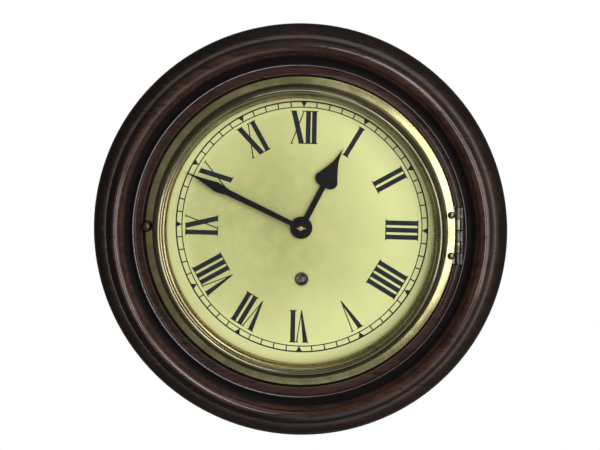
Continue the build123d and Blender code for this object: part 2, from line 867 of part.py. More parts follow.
# Sight ring, sprung in behind the glass
with BuildPart() as sight_ring:
    ring_back = glass_back - sight_ring_depth
    with BuildSketch(section(case_x, case_z)):
        Polygon(
            (glass_radius, ring_back),
            (glass_radius, glass_back),
            (bezel_lip_radius, glass_back),
            (sight_ring_inner, ring_back + sight_ring_wall),
            (sight_ring_inner, ring_back),
            align=None,
        )
    revolve(axis=spindle(case_x, case_z))
sight_ring.part.label = "sight_ring"
export_step(sight_ring.part, "parts/sight_ring.step")

# Pull knob, with its shank through the flange
with BuildPart() as bezel_knob:
    with BuildSketch(face(bezel_back, case_x + knob_x, case_z + knob_z)):
        Circle(knob_neck_radius / 2)
    extrude(amount=bezel_flange)
    with BuildSketch(face(bezel_front, case_x + knob_x, case_z + knob_z)):
        Circle(knob_neck_radius)
    extrude(amount=knob_neck_height)
    with BuildSketch(face(bezel_front + knob_neck_height, case_x + knob_x, case_z + knob_z)):
        Circle(knob_radius)
    extrude(amount=knob_height - knob_neck_height)
    fillet(bezel_knob.edges().sort_by(Axis.Y)[0], radius=knob_round)
bezel_knob.part.label = "bezel_knob"
export_step(bezel_knob.part, "parts/bezel_knob.step")

# Bezel hinge: five knuckles on one pin, the outer and middle ones fixed to the surround
knuckle_pitch = hinge_length / knuckle_count
hinge_base = hinge_z - hinge_length / 2
for leaf_name, first_knuckle in (("bezel_hinge_fixed_leaf", 0), ("bezel_hinge_moving_leaf", 1)):
    with BuildPart() as hinge_leaf_part:
        if first_knuckle == 0:
            with BuildSketch(face(hinge_pocket_depth, hinge_axis_x, hinge_z)):
                with Locations((hinge_leaf_reach - hinge_leaf / 2, 0)):
                    Rectangle(hinge_leaf, hinge_length)
            extrude(amount=hinge_depth + hinge_leaf - hinge_pocket_depth)
        else:
            with BuildSketch(face(bezel_back - hinge_leaf, hinge_axis_x, hinge_z)):
                with Locations((-knuckle_radius - hinge_leaf_width / 2, 0)):
                    Rectangle(hinge_leaf_width, hinge_length)
                for rise in (-rivet_pitch / 2, rivet_pitch / 2):
                    with Locations((-rivet_inset, rise)):
                        Circle(rivet_shank_radius, mode=Mode.SUBTRACT)
            extrude(amount=hinge_leaf)
        for knuckle in range(first_knuckle, knuckle_count, 2):
            with BuildSketch(Plane.XY.offset(hinge_base + knuckle * knuckle_pitch + knuckle_gap / 2)):
                if first_knuckle == 0:
                    with Locations((hinge_axis_x + hinge_leaf_reach / 2, -hinge_depth)):
                        Rectangle(hinge_leaf_reach, 2 * hinge_leaf)
                else:
                    web_bottom = bezel_back - hinge_leaf
                    with Locations((hinge_axis_x - knuckle_radius / 2, -(web_bottom + hinge_depth) / 2)):
                        Rectangle(knuckle_radius, hinge_depth - web_bottom)
                with Locations((hinge_axis_x, -hinge_depth)):
                    Circle(knuckle_radius)
                    Circle(hinge_pin_radius + run_fit, mode=Mode.SUBTRACT)
            extrude(amount=knuckle_pitch - knuckle_gap)
    hinge_leaf_part.part.label = leaf_name
    export_step(hinge_leaf_part.part, f"parts/{leaf_name}.step")

with BuildPart() as bezel_hinge_pin:
    with BuildSketch(Plane.XY.offset(hinge_base)):
        with Locations((hinge_axis_x, -hinge_depth)):
            Circle(hinge_pin_radius)
    extrude(amount=hinge_length)
bezel_hinge_pin.part.label = "bezel_hinge_pin"
export_step(bezel_hinge_pin.part, "parts/bezel_hinge_pin.step")

with BuildPart() as bezel_hinge_rivets:
    for rise in (-rivet_pitch / 2, rivet_pitch / 2):
        with BuildSketch(face(bezel_back - hinge_leaf, hinge_axis_x - rivet_inset, hinge_z + rise)):
            Circle(rivet_shank_radius)
        extrude(amount=hinge_leaf + bezel_flange)
        with BuildSketch(face(bezel_front, hinge_axis_x - rivet_inset, hinge_z + rise)):
            Circle(rivet_radius)
        extrude(amount=rivet_height)
bezel_hinge_rivets.part.label = "bezel_hinge_rivets"
export_step(bezel_hinge_rivets.part, "parts/bezel_hinge_rivets.step")

# Movement plates, joined by four pillars
plate_middle = (plate_top + plate_bottom) / 2
pillar_x = plate_half_width - pillar_inset
pillar_span = (plate_top - plate_bottom) / 2 - pillar_inset
pillar_places = [
    (side * pillar_x, plate_middle + level * pillar_span) for side in (-1, 1) for level in (-1, 1)
]
pivot_holes = [
    (centre_arbor_at, centre_arbor_radius),
    (barrel_arbor_at, barrel_arbor_radius),
    (intermediate_at, power_arbor_radius),
    (third_at, train_arbor_radius),
    (escape_arbor_at, escape_arbor_radius),
]
for plate_name, plate_depth, pallet_hole in (
    ("front_plate", front_plate_depth, pallet_arbor_radius + run_fit),
    ("back_plate", back_plate_depth, 2 * pallet_arbor_radius),
):
    with BuildPart() as movement_plate:
        with BuildSketch(face(plate_depth)):
            with Locations((0, plate_middle)):
                Rectangle(2 * plate_half_width, plate_top - plate_bottom)
            for place, pivot_radius in pivot_holes:
                with Locations(place):
                    Circle(pivot_radius + run_fit, mode=Mode.SUBTRACT)
            with Locations(pallet_arbor_at):
                Circle(pallet_hole, mode=Mode.SUBTRACT)
        extrude(amount=plate_thickness)
    movement_plate.part.label = plate_name
    export_step(movement_plate.part, f"parts/{plate_name}.step")

with BuildPart() as plate_pillars:
    with BuildSketch(face(back_plate_depth + plate_thickness)):
        with Locations(*pillar_places):
            Circle(pillar_radius)
    extrude(amount=plate_gap)
plate_pillars.part.label = "plate_pillars"
export_step(plate_pillars.part, "parts/plate_pillars.step")

with BuildPart() as pillar_nuts:
    with BuildSketch(face(plate_front)):
        with Locations(*pillar_places):
            RegularPolygon(pillar_nut, 6)
    extrude(amount=pillar_nut_height)
pillar_nuts.part.label = "pillar_nuts"
export_step(pillar_nuts.part, "parts/pillar_nuts.step")

# Going barrel: a drum with a toothed front, its cap, the mainspring and the arbor
barrel_x, barrel_z = barrel_arbor_at
barrel_tooth_back = barrel_front - 2 * wheel_thickness
with BuildPart() as barrel:
    with BuildSketch(face(barrel_tooth_back, barrel_x, barrel_z)):
        Polygon(*wheel_outline(power_wheel_teeth, power_module, barrel_phase), align=None)
        Circle(barrel_arbor_radius + run_fit, mode=Mode.SUBTRACT)
    extrude(amount=wheel_thickness * 2)
    with BuildSketch(face(barrel_back, barrel_x, barrel_z)):
        Circle(barrel_radius)
        Circle(barrel_radius - barrel_wall, mode=Mode.SUBTRACT)
    extrude(amount=barrel_tooth_back - barrel_back)
barrel.part.label = "barrel"
export_step(barrel.part, "parts/barrel.step")

with BuildPart() as barrel_cap:
    with BuildSketch(face(barrel_back, barrel_x, barrel_z)):
        Circle(barrel_radius - barrel_wall)
        Circle(barrel_arbor_radius + run_fit, mode=Mode.SUBTRACT)
    extrude(amount=barrel_wall)
barrel_cap.part.label = "barrel_cap"
export_step(barrel_cap.part, "parts/barrel_cap.step")

with BuildPart() as mainspring:
    spring_back = barrel_back + barrel_wall + spring_gap
    with BuildSketch(face(spring_back, barrel_x, barrel_z)):
        Circle(barrel_radius - barrel_wall)
        Circle(barrel_radius / 2, mode=Mode.SUBTRACT)
    extrude(amount=barrel_tooth_back - spring_gap - spring_back)
mainspring.part.label = "mainspring"
export_step(mainspring.part, "parts/mainspring.step")

with BuildPart() as barrel_arbor:
    with BuildSketch(face(back_plate_depth, barrel_x, barrel_z)):
        Circle(barrel_arbor_radius)
    extrude(amount=ratchet_depth + ratchet_thickness - back_plate_depth)
    with BuildSketch(face(ratchet_depth + ratchet_thickness, barrel_x, barrel_z)):
        Rectangle(winding_square, winding_square)
        Circle(barrel_arbor_radius, mode=Mode.INTERSECT)
    extrude(amount=winding_square_end - ratchet_depth - ratchet_thickness)
barrel_arbor.part.label = "barrel_arbor"
export_step(barrel_arbor.part, "parts/barrel_arbor.step")

with BuildPart() as ratchet_wheel:
    with BuildSketch(face(ratchet_depth, barrel_x, barrel_z)):
        Polygon(
            *raked_outline(ratchet_teeth, ratchet_radius, ratchet_tooth_depth, ratchet_lead),
            align=None,
        )
        Circle(barrel_arbor_radius, mode=Mode.SUBTRACT)
    extrude(amount=ratchet_thickness)
ratchet_wheel.part.label = "ratchet_wheel"
export_step(ratchet_wheel.part, "parts/ratchet_wheel.step")

# Click: its nose lies in a gap of the ratchet
nose_angle = (click_tooth + ratchet_lead) * 360 / ratchet_teeth
root_radius = ratchet_radius - ratchet_tooth_depth
click_x, click_z = polar(click_ring, click_angle)
with BuildPart() as click:
    with BuildSketch(face(ratchet_depth, barrel_x, barrel_z)):
        with Locations((click_x, click_z)):
            Circle(click_hub_radius)
        Polygon(
            polar(root_radius + body_gap, nose_angle + click_nose_start),
            polar(ratchet_radius + body_gap, nose_angle + click_belly_turn),
            polar(click_ring - click_hub_radius, click_angle - click_shoulder_turn),
            polar(click_ring + click_hub_radius / 2, click_angle - click_back_turn),
            polar(ratchet_radius + click_nose_overlap, nose_angle + click_nose_end),
            align=None,
        )
        with Locations((click_x, click_z)):
            Circle(post_radius + run_fit, mode=Mode.SUBTRACT)
    extrude(amount=ratchet_thickness)
click.part.label = "click"
export_step(click.part, "parts/click.step")

with BuildPart() as click_spring:
    with BuildSketch(face(plate_front, barrel_x, barrel_z)):
        with Locations(Location(polar(click_spring_ring, click_angle + click_spring_foot_turn), click_angle)):
            Rectangle(click_spring_foot, click_spring_foot)
    extrude(amount=ratchet_depth + ratchet_thickness - plate_front)
    with BuildSketch(face(ratchet_depth, barrel_x, barrel_z)):
        spring_foot_angle = click_angle + click_spring_foot_turn
        spring_end_ring = click_ring + click_hub_radius + click_spring_end_gap
        blade_start = polar(click_spring_ring - click_spring_foot / 2, spring_foot_angle)
        blade_end = polar(spring_end_ring, click_angle - click_spring_end_turn)
        with BuildLine():
            blade_ring = click_spring_ring - click_spring_blade
            blade_middle = polar(blade_ring, click_angle + click_spring_middle_turn)
            ThreePointArc(blade_start, blade_middle, blade_end)
            offset(amount=click_spring_blade / 2, side=Side.BOTH)
        make_face()
    extrude(amount=ratchet_thickness)
click_spring.part.label = "click_spring"
export_step(click_spring.part, "parts/click_spring.step")

# Studs on the front plate: the click's screw and the minute wheel's post
minute_x, minute_z = minute_post_at
click_head_depth = ratchet_depth + ratchet_thickness + run_fit
minute_wheel_back = plate_front + 1.5 * motion_gap
hour_wheel_back = minute_wheel_back + motion_wheel + 2 * motion_gap
minute_pinion_end = hour_wheel_back + motion_wheel + motion_gap / 2
with BuildPart() as front_plate_studs:
    with BuildSketch(face(plate_front, barrel_x + click_x, barrel_z + click_z)):
        Circle(post_radius)
    extrude(amount=click_head_depth - plate_front)
    with BuildSketch(face(click_head_depth, barrel_x + click_x, barrel_z + click_z)):
        Circle(button_screw_head)
    extrude(amount=button_thickness / 2)
    with BuildSketch(face(plate_front, minute_x, minute_z)):
        Circle(post_radius)
    extrude(amount=minute_pinion_end + motion_gap - plate_front)
front_plate_studs.part.label = "front_plate_studs"
export_step(front_plate_studs.part, "parts/front_plate_studs.step")

# Intermediate wheel, riveted to its pinion, between the barrel and the centre arbor
intermediate_x, intermediate_z = intermediate_at
with BuildPart() as intermediate_wheel:
    with BuildSketch(face(back_plate_depth, intermediate_x, intermediate_z)):
        Circle(power_arbor_radius)
    extrude(amount=plate_front - back_plate_depth)
    pinion_back = power_wheel_depth - pinion_face - pinion_shoulder
    with BuildSketch(face(pinion_back, intermediate_x, intermediate_z)):
        Polygon(*pinion_outline(power_pinion_leaves, power_module, 0.0), align=None)
    extrude(amount=pinion_face + pinion_shoulder)
    with BuildSketch(face(power_wheel_depth, intermediate_x, intermediate_z)):
        Polygon(*wheel_outline(power_wheel_teeth, power_module, intermediate_phase), align=None)
        for window in range(wheel_arms):
            inner_radius = power_module * power_pinion_leaves / 2 + arm_width
            outer_radius = power_module * power_wheel_teeth / 2 - wheel_rim
            Polygon(
                *window_outline(inner_radius, outer_radius, wheel_arms, arm_width, window),
                align=None,
                mode=Mode.SUBTRACT,
            )
    extrude(amount=wheel_thickness)
intermediate_wheel.part.label = "intermediate_wheel"
export_step(intermediate_wheel.part, "parts/intermediate_wheel.step")

# Centre arbor with its pinion, the centre wheel and the cannon pinion
arbor_end = collet_depth + collet_height + 4 * taper_pin_radius
with BuildPart() as centre_arbor:
    with BuildSketch(face(back_plate_depth)):
        Circle(centre_arbor_radius)
    extrude(amount=arbor_end - back_plate_depth)
    with BuildSketch(face(power_wheel_depth - pinion_shoulder / 2)):
        Polygon(*pinion_outline(power_pinion_leaves, power_module, 0.0), align=None)
    extrude(amount=wheel_thickness + pinion_shoulder)
    with BuildSketch(Plane.YZ.offset(-centre_arbor_radius)):
        with Locations((-taper_pin_depth, 0)):
            Circle(taper_pin_radius)
    extrude(amount=2 * centre_arbor_radius, mode=Mode.SUBTRACT)
centre_arbor.part.label = "centre_arbor"
export_step(centre_arbor.part, "parts/centre_arbor.step")

with BuildPart() as centre_wheel:
    with BuildSketch(face(centre_wheel_depth)):
        Polygon(*wheel_outline(centre_wheel_teeth, centre_module, 0.0), align=None)
        for window in range(wheel_arms):
            Polygon(
                *window_outline(
                    centre_arbor_radius + 2 * arm_width,
                    centre_module * centre_wheel_teeth / 2 - wheel_rim,
                    wheel_arms,
                    arm_width,
                    window,
                ),
                align=None,
                mode=Mode.SUBTRACT,
            )
        Circle(centre_arbor_radius, mode=Mode.SUBTRACT)
    extrude(amount=wheel_thickness)
centre_wheel.part.label = "centre_wheel"
export_step(centre_wheel.part, "parts/centre_wheel.step")

with BuildPart() as cannon_pinion:
    with BuildSketch(face(plate_front + motion_gap)):
        Polygon(*pinion_outline(cannon_leaves, motion_module, 0.0), align=None)
    extrude(amount=hour_wheel_back - motion_gap / 2 - plate_front - motion_gap)
    with BuildSketch(face(plate_front + motion_gap)):
        Circle(cannon_radius)
    extrude(amount=collet_depth - plate_front - motion_gap)
    with BuildSketch(face(plate_front + motion_gap)):
        Circle(centre_arbor_radius)
    extrude(amount=collet_depth - plate_front - motion_gap, mode=Mode.SUBTRACT)
cannon_pinion.part.label = "cannon_pinion"
export_step(cannon_pinion.part, "parts/cannon_pinion.step")

with BuildPart() as minute_wheel:
    with BuildSketch(face(minute_wheel_back, minute_x, minute_z)):
        Polygon(*wheel_outline(minute_wheel_teeth, motion_module, minute_phase), align=None)
    extrude(amount=motion_wheel)
    with BuildSketch(face(minute_wheel_back + motion_wheel, minute_x, minute_z)):
        Polygon(*pinion_outline(minute_pinion_leaves, hour_module, 0.0), align=None)
    extrude(amount=minute_pinion_end - minute_wheel_back - motion_wheel)
    with BuildSketch(face(minute_wheel_back, minute_x, minute_z)):
        Circle(post_radius + run_fit)
    extrude(amount=minute_pinion_end - minute_wheel_back, mode=Mode.SUBTRACT)
minute_wheel.part.label = "minute_wheel"
export_step(minute_wheel.part, "parts/minute_wheel.step")

with BuildPart() as hour_wheel:
    with BuildSketch(face(hour_wheel_back)):
        Polygon(*wheel_outline(hour_wheel_teeth, hour_module, hour_phase), align=None)
    extrude(amount=motion_wheel)
    with BuildSketch(face(hour_wheel_back)):
        Circle(hour_pipe_radius)
    extrude(amount=hour_hand_depth + hand_thickness - hour_wheel_back)
    with BuildSketch(face(hour_wheel_back)):
        Circle(cannon_radius + run_fit)
    extrude(amount=hour_hand_depth + hand_thickness - hour_wheel_back, mode=Mode.SUBTRACT)
hour_wheel.part.label = "hour_wheel"
export_step(hour_wheel.part, "parts/hour_wheel.step")

# Third wheel, riveted to its pinion
third_x, third_z = third_at
with BuildPart() as third_wheel:
    with BuildSketch(face(back_plate_depth, third_x, third_z)):
        Circle(train_arbor_radius)
    extrude(amount=plate_front - back_plate_depth)
    with BuildSketch(face(centre_wheel_depth - pinion_margin, third_x, third_z)):
        Polygon(*pinion_outline(third_pinion_leaves, centre_module, third_phase), align=None)
    extrude(amount=pinion_face)
    with BuildSketch(face(third_wheel_depth, third_x, third_z)):
        Polygon(*wheel_outline(third_wheel_teeth, third_module, 0.0), align=None)
        for window in range(wheel_arms):
            Polygon(
                *window_outline(
                    train_arbor_radius + 2 * arm_width,
                    third_module * third_wheel_teeth / 2 - wheel_rim,
                    wheel_arms,
                    arm_width,
                    window,
                ),
                align=None,
                mode=Mode.SUBTRACT,
            )
    extrude(amount=wheel_thickness)
third_wheel.part.label = "third_wheel"
export_step(third_wheel.part, "parts/third_wheel.step")

# Escape wheel on its pinion
with BuildPart() as escape_wheel:
    with BuildSketch(face(back_plate_depth, 0, escape_rise)):
        Circle(escape_arbor_radius)
    extrude(amount=plate_front - back_plate_depth)
    with BuildSketch(face(third_wheel_depth - pinion_margin, 0, escape_rise)):
        Polygon(*pinion_outline(escape_pinion_leaves, third_module, escape_phase), align=None)
    extrude(amount=pinion_face)
    with BuildSketch(face(escape_wheel_depth, 0, escape_rise)):
        Polygon(
            *raked_outline(escape_teeth, escape_radius, escape_tooth_depth, escape_lead), align=None
        )
    extrude(amount=wheel_thickness)
escape_wheel.part.label = "escape_wheel"
export_step(escape_wheel.part, "parts/escape_wheel.step")

# Anchor, pallet arbor and crutch, which swing with the pendulum
nib_x, nib_z = polar(pallet_ring, 90 - pallet_spread)
nib_z = nib_z + escape_rise
with BuildPart() as anchor:
    with BuildSketch(face(escape_wheel_depth - anchor_clearance)):
        with Locations(pallet_arbor_at):
            Circle(anchor_hub_radius)
        for side in (-1, 1):
            Polygon(
                (0, pallet_rise + anchor_arm),
                (side * (nib_x + anchor_arm), nib_z + 2 * anchor_arm),
                (side * (nib_x + anchor_arm), nib_z + anchor_arm / 2),
                (side * nib_x, nib_z),
                (side * (nib_x + anchor_arm / 4), nib_z + anchor_belly_share * anchor_arm),
                (0, pallet_rise - anchor_arm),
                align=None,
            )
        with Locations(pallet_arbor_at):
            Circle(pallet_arbor_radius, mode=Mode.SUBTRACT)
    extrude(amount=anchor_thickness)
anchor.part.label = "anchor"
export_step(anchor.part, "parts/anchor.step")

with BuildPart() as pallet_arbor:
    with BuildSketch(face(cock_depth, 0, pallet_rise)):
        Circle(pallet_arbor_radius)
    extrude(amount=plate_front - cock_depth)
pallet_arbor.part.label = "pallet_arbor"
export_step(pallet_arbor.part, "parts/pallet_arbor.step")

fork_z = pallet_rise - fork_drop
fork_half = rod_radius + run_fit + fork_wall
with BuildPart() as crutch:
    with BuildSketch(face(crutch_depth)):
        with Locations(pallet_arbor_at):
            Circle(crutch_width)
        with Locations((0, pallet_rise - fork_drop / 2)):
            Rectangle(crutch_width, fork_drop)
        with Locations((0, fork_z)):
            Rectangle(2 * fork_half, crutch_width)
        with Locations(pallet_arbor_at):
            Circle(pallet_arbor_radius, mode=Mode.SUBTRACT)
    extrude(amount=crutch_thickness)
    with BuildSketch(face(pendulum_depth - fork_length / 2)):
        for side in (-1, 1):
            with Locations((side * (fork_half - fork_wall / 2), fork_z)):
                Rectangle(fork_wall, crutch_width)
    extrude(amount=crutch_depth - pendulum_depth + fork_length / 2)
crutch.part.label = "crutch"
export_step(crutch.part, "parts/crutch.step")

# Back cock: a bridge on the back plate that carries the pallet arbor and the pendulum
cock_base = pallet_rise - cock_height / 3
with BuildPart() as back_cock:
    with BuildSketch(face(cock_depth, 0, cock_base)):
        with Locations((0, cock_height / 2)):
            Rectangle(2 * cock_half_width, cock_height)
        with Locations((0, pallet_rise - cock_base)):
            Circle(pallet_arbor_radius + run_fit, mode=Mode.SUBTRACT)
    extrude(amount=cock_thickness)
    with BuildSketch(face(cock_depth + cock_thickness, 0, cock_base)):
        for side in (-1, 1):
            with Locations((side * (cock_half_width - cock_leg / 2), cock_height / 2)):
                Rectangle(cock_leg, cock_height)
    extrude(amount=back_plate_depth - cock_depth - cock_thickness)
    chops_top = cock_base + cock_height
    chops_bottom = pallet_rise + pallet_arbor_radius
    with BuildSketch(face(pendulum_depth - suspension_width / 2 - body_gap)):
        with Locations((0, (chops_top + chops_bottom) / 2)):
            Rectangle(chops_width, chops_top - chops_bottom)
        with Locations((0, chops_bottom + suspension_top / 2)):
            Rectangle(chops_slot, suspension_top, mode=Mode.SUBTRACT)
    extrude(amount=cock_depth - pendulum_depth + suspension_width / 2 + body_gap)
back_cock.part.label = "back_cock"
export_step(back_cock.part, "parts/back_cock.step")

# Pendulum: spring, rod, bob and rating nut
with BuildPart() as suspension_spring:
    with BuildSketch(face(pendulum_depth - suspension_width / 2, 0, pallet_rise)):
        with Locations((0, (suspension_top - suspension_drop) / 2)):
            Rectangle(suspension_thickness, suspension_top + suspension_drop)
    extrude(amount=suspension_width)
suspension_spring.part.label = "suspension_spring"
export_step(suspension_spring.part, "parts/suspension_spring.step")

with BuildPart() as pendulum_rod:
    with BuildSketch(Plane.XY.offset(rod_end)):
        with Locations((0, -pendulum_depth)):
            Circle(rod_radius)
    extrude(amount=pallet_rise - suspension_drop - rod_end)
pendulum_rod.part.label = "pendulum_rod"
export_step(pendulum_rod.part, "parts/pendulum_rod.step")

with BuildPart() as pendulum_bob:
    with BuildSketch(section(0, bob_z)):
        with BuildLine():
            back_rim = (bob_radius, pendulum_depth - bob_rim / 2)
            front_rim = (bob_radius, pendulum_depth + bob_rim / 2)
            back_crown = (0, pendulum_depth - bob_thickness / 2)
            front_crown = (0, pendulum_depth + bob_thickness / 2)
            TangentArc(back_crown, back_rim, tangent=(1, 0))
            Line(back_rim, front_rim)
            TangentArc(front_crown, front_rim, tangent=(1, 0))
            Line(back_crown, front_crown)
        make_face()
    revolve(axis=spindle(0, bob_z))
    with BuildSketch(Plane.XY.offset(bob_z - bob_radius)):
        with Locations((0, -pendulum_depth)):
            Circle(rod_radius)
    extrude(amount=2 * bob_radius, mode=Mode.SUBTRACT)
pendulum_bob.part.label = "pendulum_bob"
export_step(pendulum_bob.part, "parts/pendulum_bob.step")

with BuildPart() as rating_nut:
    with BuildSketch(Plane.XY.offset(bob_z - bob_radius - rating_nut_height)):
        with Locations((0, -pendulum_depth)):
            RegularPolygon(rating_nut_radius, 8)
            Circle(rod_radius, mode=Mode.SUBTRACT)
    extrude(amount=rating_nut_height)
rating_nut.part.label = "rating_nut"
export_step(rating_nut.part, "parts/rating_nut.step")

# Hands, drawn upright and turned to the time they show
with BuildPart() as hour_hand:
    with BuildSketch(hand_face(hour_hand_depth, hour_angle)):
        with BuildLine():
            stem_foot = (hour_stem, hour_hub_radius / 2)
            base = (hour_stem, hour_spade_base)
            widest = (hour_spade_half, hour_spade_wide)
            neck_height = hour_spade_wide + hour_neck_place * hour_spade_length
            neck = (hour_stem * hour_neck_share, neck_height)
            shoulder = (hour_spade_half * hour_shoulder_share, hour_spade_base + hour_shoulder_rise)
            flank = (hour_spade_half * hour_flank_share, hour_spade_wide + hour_flank_rise)
            Line((0, hour_hub_radius / 2), stem_foot)
            Line(stem_foot, base)
            ThreePointArc(base, shoulder, widest)
            ThreePointArc(widest, flank, neck)
            Line(neck, (0, hour_tip))
            mirror(about=Plane.YZ)
        make_face()
        Circle(hour_hub_radius)
        Circle(hour_pipe_radius, mode=Mode.SUBTRACT)
    extrude(amount=hand_thickness)
hour_hand.part.label = "hour_hand"
export_step(hour_hand.part, "parts/hour_hand.step")

with BuildPart() as minute_hand:
    with BuildSketch(hand_face(minute_hand_depth, minute_angle)):
        with BuildLine():
            stem_foot = (minute_stem, minute_hub_radius / 2)
            base = (minute_stem_outer, minute_spade_base)
            widest = (minute_spade_half, minute_spade_wide)
            shoulder_rise = minute_spade_base + minute_shoulder_rise
            shoulder = (minute_spade_half * minute_shoulder_share, shoulder_rise)
            flank = (minute_spade_half * minute_flank_share, minute_spade_wide + minute_flank_rise)
            Line((0, minute_hub_radius / 2), stem_foot)
            Line(stem_foot, base)
            ThreePointArc(base, shoulder, widest)
            ThreePointArc(widest, flank, (0, minute_tip))
            mirror(about=Plane.YZ)
        make_face()
        Circle(minute_hub_radius)
        Circle(cannon_radius, mode=Mode.SUBTRACT)
    extrude(amount=hand_thickness)
minute_hand.part.label = "minute_hand"
export_step(minute_hand.part, "parts/minute_hand.step")

with BuildPart() as hand_collet:
    with BuildSketch(face(collet_depth)):
        Circle(collet_radius)
        Circle(centre_arbor_radius, mode=Mode.SUBTRACT)
    extrude(amount=collet_height)
hand_collet.part.label = "hand_collet"
export_step(hand_collet.part, "parts/hand_collet.step")

with BuildPart() as hand_pin:
    with BuildSketch(Plane.YZ.offset(-taper_pin_length / 2)):
        with Locations((-taper_pin_depth, 0)):
            Circle(taper_pin_radius)
    extrude(amount=taper_pin_length)
hand_pin.part.label = "hand_pin"
export_step(hand_pin.part, "parts/hand_pin.step")
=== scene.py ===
import math

import bmesh
import bpy
from mathutils import Matrix, Vector


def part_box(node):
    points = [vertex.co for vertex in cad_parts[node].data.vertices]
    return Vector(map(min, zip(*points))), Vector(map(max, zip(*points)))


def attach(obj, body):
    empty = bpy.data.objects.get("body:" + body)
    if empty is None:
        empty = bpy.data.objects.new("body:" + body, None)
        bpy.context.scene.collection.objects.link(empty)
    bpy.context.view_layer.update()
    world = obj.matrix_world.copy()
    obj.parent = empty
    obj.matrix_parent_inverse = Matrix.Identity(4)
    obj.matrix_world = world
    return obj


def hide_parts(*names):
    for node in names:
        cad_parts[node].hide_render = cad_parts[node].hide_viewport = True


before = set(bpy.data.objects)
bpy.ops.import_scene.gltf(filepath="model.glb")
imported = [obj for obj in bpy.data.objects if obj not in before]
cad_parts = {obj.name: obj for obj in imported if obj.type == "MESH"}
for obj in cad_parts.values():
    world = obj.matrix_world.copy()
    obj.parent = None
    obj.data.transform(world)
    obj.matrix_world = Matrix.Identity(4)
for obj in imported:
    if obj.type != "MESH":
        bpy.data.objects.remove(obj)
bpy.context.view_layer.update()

# Sizes in millimetres, depths measured forward from the wall
MM = 0.001
JOIN = 1e-6
SMOOTH_ANGLE = math.radians(34)
RING_STEPS = 288

# The dial is centred on the movement; case and bezel hang a little off its axis
CASE_X = -1.5
CASE_Z = -2.8
BEZEL_X = CASE_X + 0.5

WOOD_BACK = 66.0
RIM_RADIUS = 152.4
RIM_ROUND = 1.5
BEZEL_BACK = 80.5
FLANGE_FRONT = 83.0
FLANGE_EDGE = 114.2
BEZEL_OPENING = 98.8
GLASS_BACK = 88.0
GLASS_FRONT = 90.0
GLASS_RADIUS = 101.6
GLASS_GRIND = 0.4
HINGE_X = 114.9
HINGE_Z = -4.8
KNUCKLE = 8.4
WINDING_Z = -38.4
DIAL_FRONT = 78.0
INK = 0.05


# Shapes


def place(x, depth, z):
    """Point in metres from millimetres right, forward and up."""
    return Vector((x, -depth, z)) * MM


def finish_piece(name, shape, body, finish, stands_for=(), ease=0.0):
    """Makes a mesh piece from a bmesh, with even shading, eased edges and its body and finish."""
    mesh = bpy.data.meshes.new(name)
    shape.to_mesh(mesh)
    shape.free()
    mesh.materials.append(finish)
    mesh.shade_smooth()
    mesh.set_sharp_from_angle(angle=SMOOTH_ANGLE)
    piece = bpy.data.objects.new(name, mesh)
    bpy.context.scene.collection.objects.link(piece)
    if ease:
        bevel = piece.modifiers.new("eased edges", "BEVEL")
        bevel.width = ease * MM
        bevel.segments = 2
        bevel.limit_method = "ANGLE"
        bevel.angle_limit = SMOOTH_ANGLE
        bevel.harden_normals = True
    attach(piece, body)
    if stands_for:
        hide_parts(*stands_for)
    return piece


class Turning:
    """Half section of a turned piece as radius and depth, spun about an axis that runs to the wall."""

    def __init__(self, radius, depth, x=CASE_X, z=CASE_Z):
        self.shape = bmesh.new()
        self.x = x
        self.z = z
        self.first = self.shape.verts.new(self.at(radius, depth))
        self.last = self.first

    def at(self, radius, depth):
        return place(self.x + radius, depth, self.z)

    def line(self, *points):
        for radius, depth in points:
            vert = self.shape.verts.new(self.at(radius, depth))
            self.shape.edges.new((self.last, vert))
            self.last = vert
        return self

    def arc(self, middle, end, steps):
        """Arc from the last point through middle to end."""
        start = self.last.co
        through = self.at(*middle)
        finish = self.at(*end)
        chord = Matrix(((through - start).xy, (finish - start).xy))
        half = Vector(((through.xy.length_squared - start.xy.length_squared) / 2,
                       (finish.xy.length_squared - start.xy.length_squared) / 2))
        centre = chord.inverted() @ half
        centre = Vector((centre.x, centre.y, start.z))
        first = math.atan2(start.y - centre.y, start.x - centre.x)
        second = math.atan2(through.y - centre.y, through.x - centre.x)
        third = math.atan2(finish.y - centre.y, finish.x - centre.x)
        turn = (third - first) % math.tau
        if (second - first) % math.tau > turn:
            turn -= math.tau
        made = bmesh.ops.spin(
            self.shape, geom=[self.last], cent=centre, axis=(0, 0, 1), angle=turn, steps=steps
        )
        self.last = [part for part in made["geom_last"] if isinstance(part, bmesh.types.BMVert)][0]
        return self

    def spun(self, steps=RING_STEPS, close=True):
        if close:
            self.shape.edges.new((self.last, self.first))
        bmesh.ops.spin(
            self.shape,
            geom=self.shape.verts[:] + self.shape.edges[:],
            cent=place(self.x, 0, self.z),
            axis=(0, 1, 0),
            angle=math.tau,
            steps=steps,
            use_merge=True,
        )
        bmesh.ops.remove_doubles(self.shape, verts=self.shape.verts, dist=JOIN)
        bmesh.ops.recalc_face_normals(self.shape, faces=self.shape.faces)
        return self.shape


def block(low, high):
    """Rectangular block between two corners, as a bmesh."""
    shape = bmesh.new()
    bmesh.ops.create_cube(shape, size=1)
    middle = (low + high) / 2
    bmesh.ops.scale(shape, vec=high - low, verts=shape.verts)
    bmesh.ops.translate(shape, vec=middle, verts=shape.verts)
    return shape


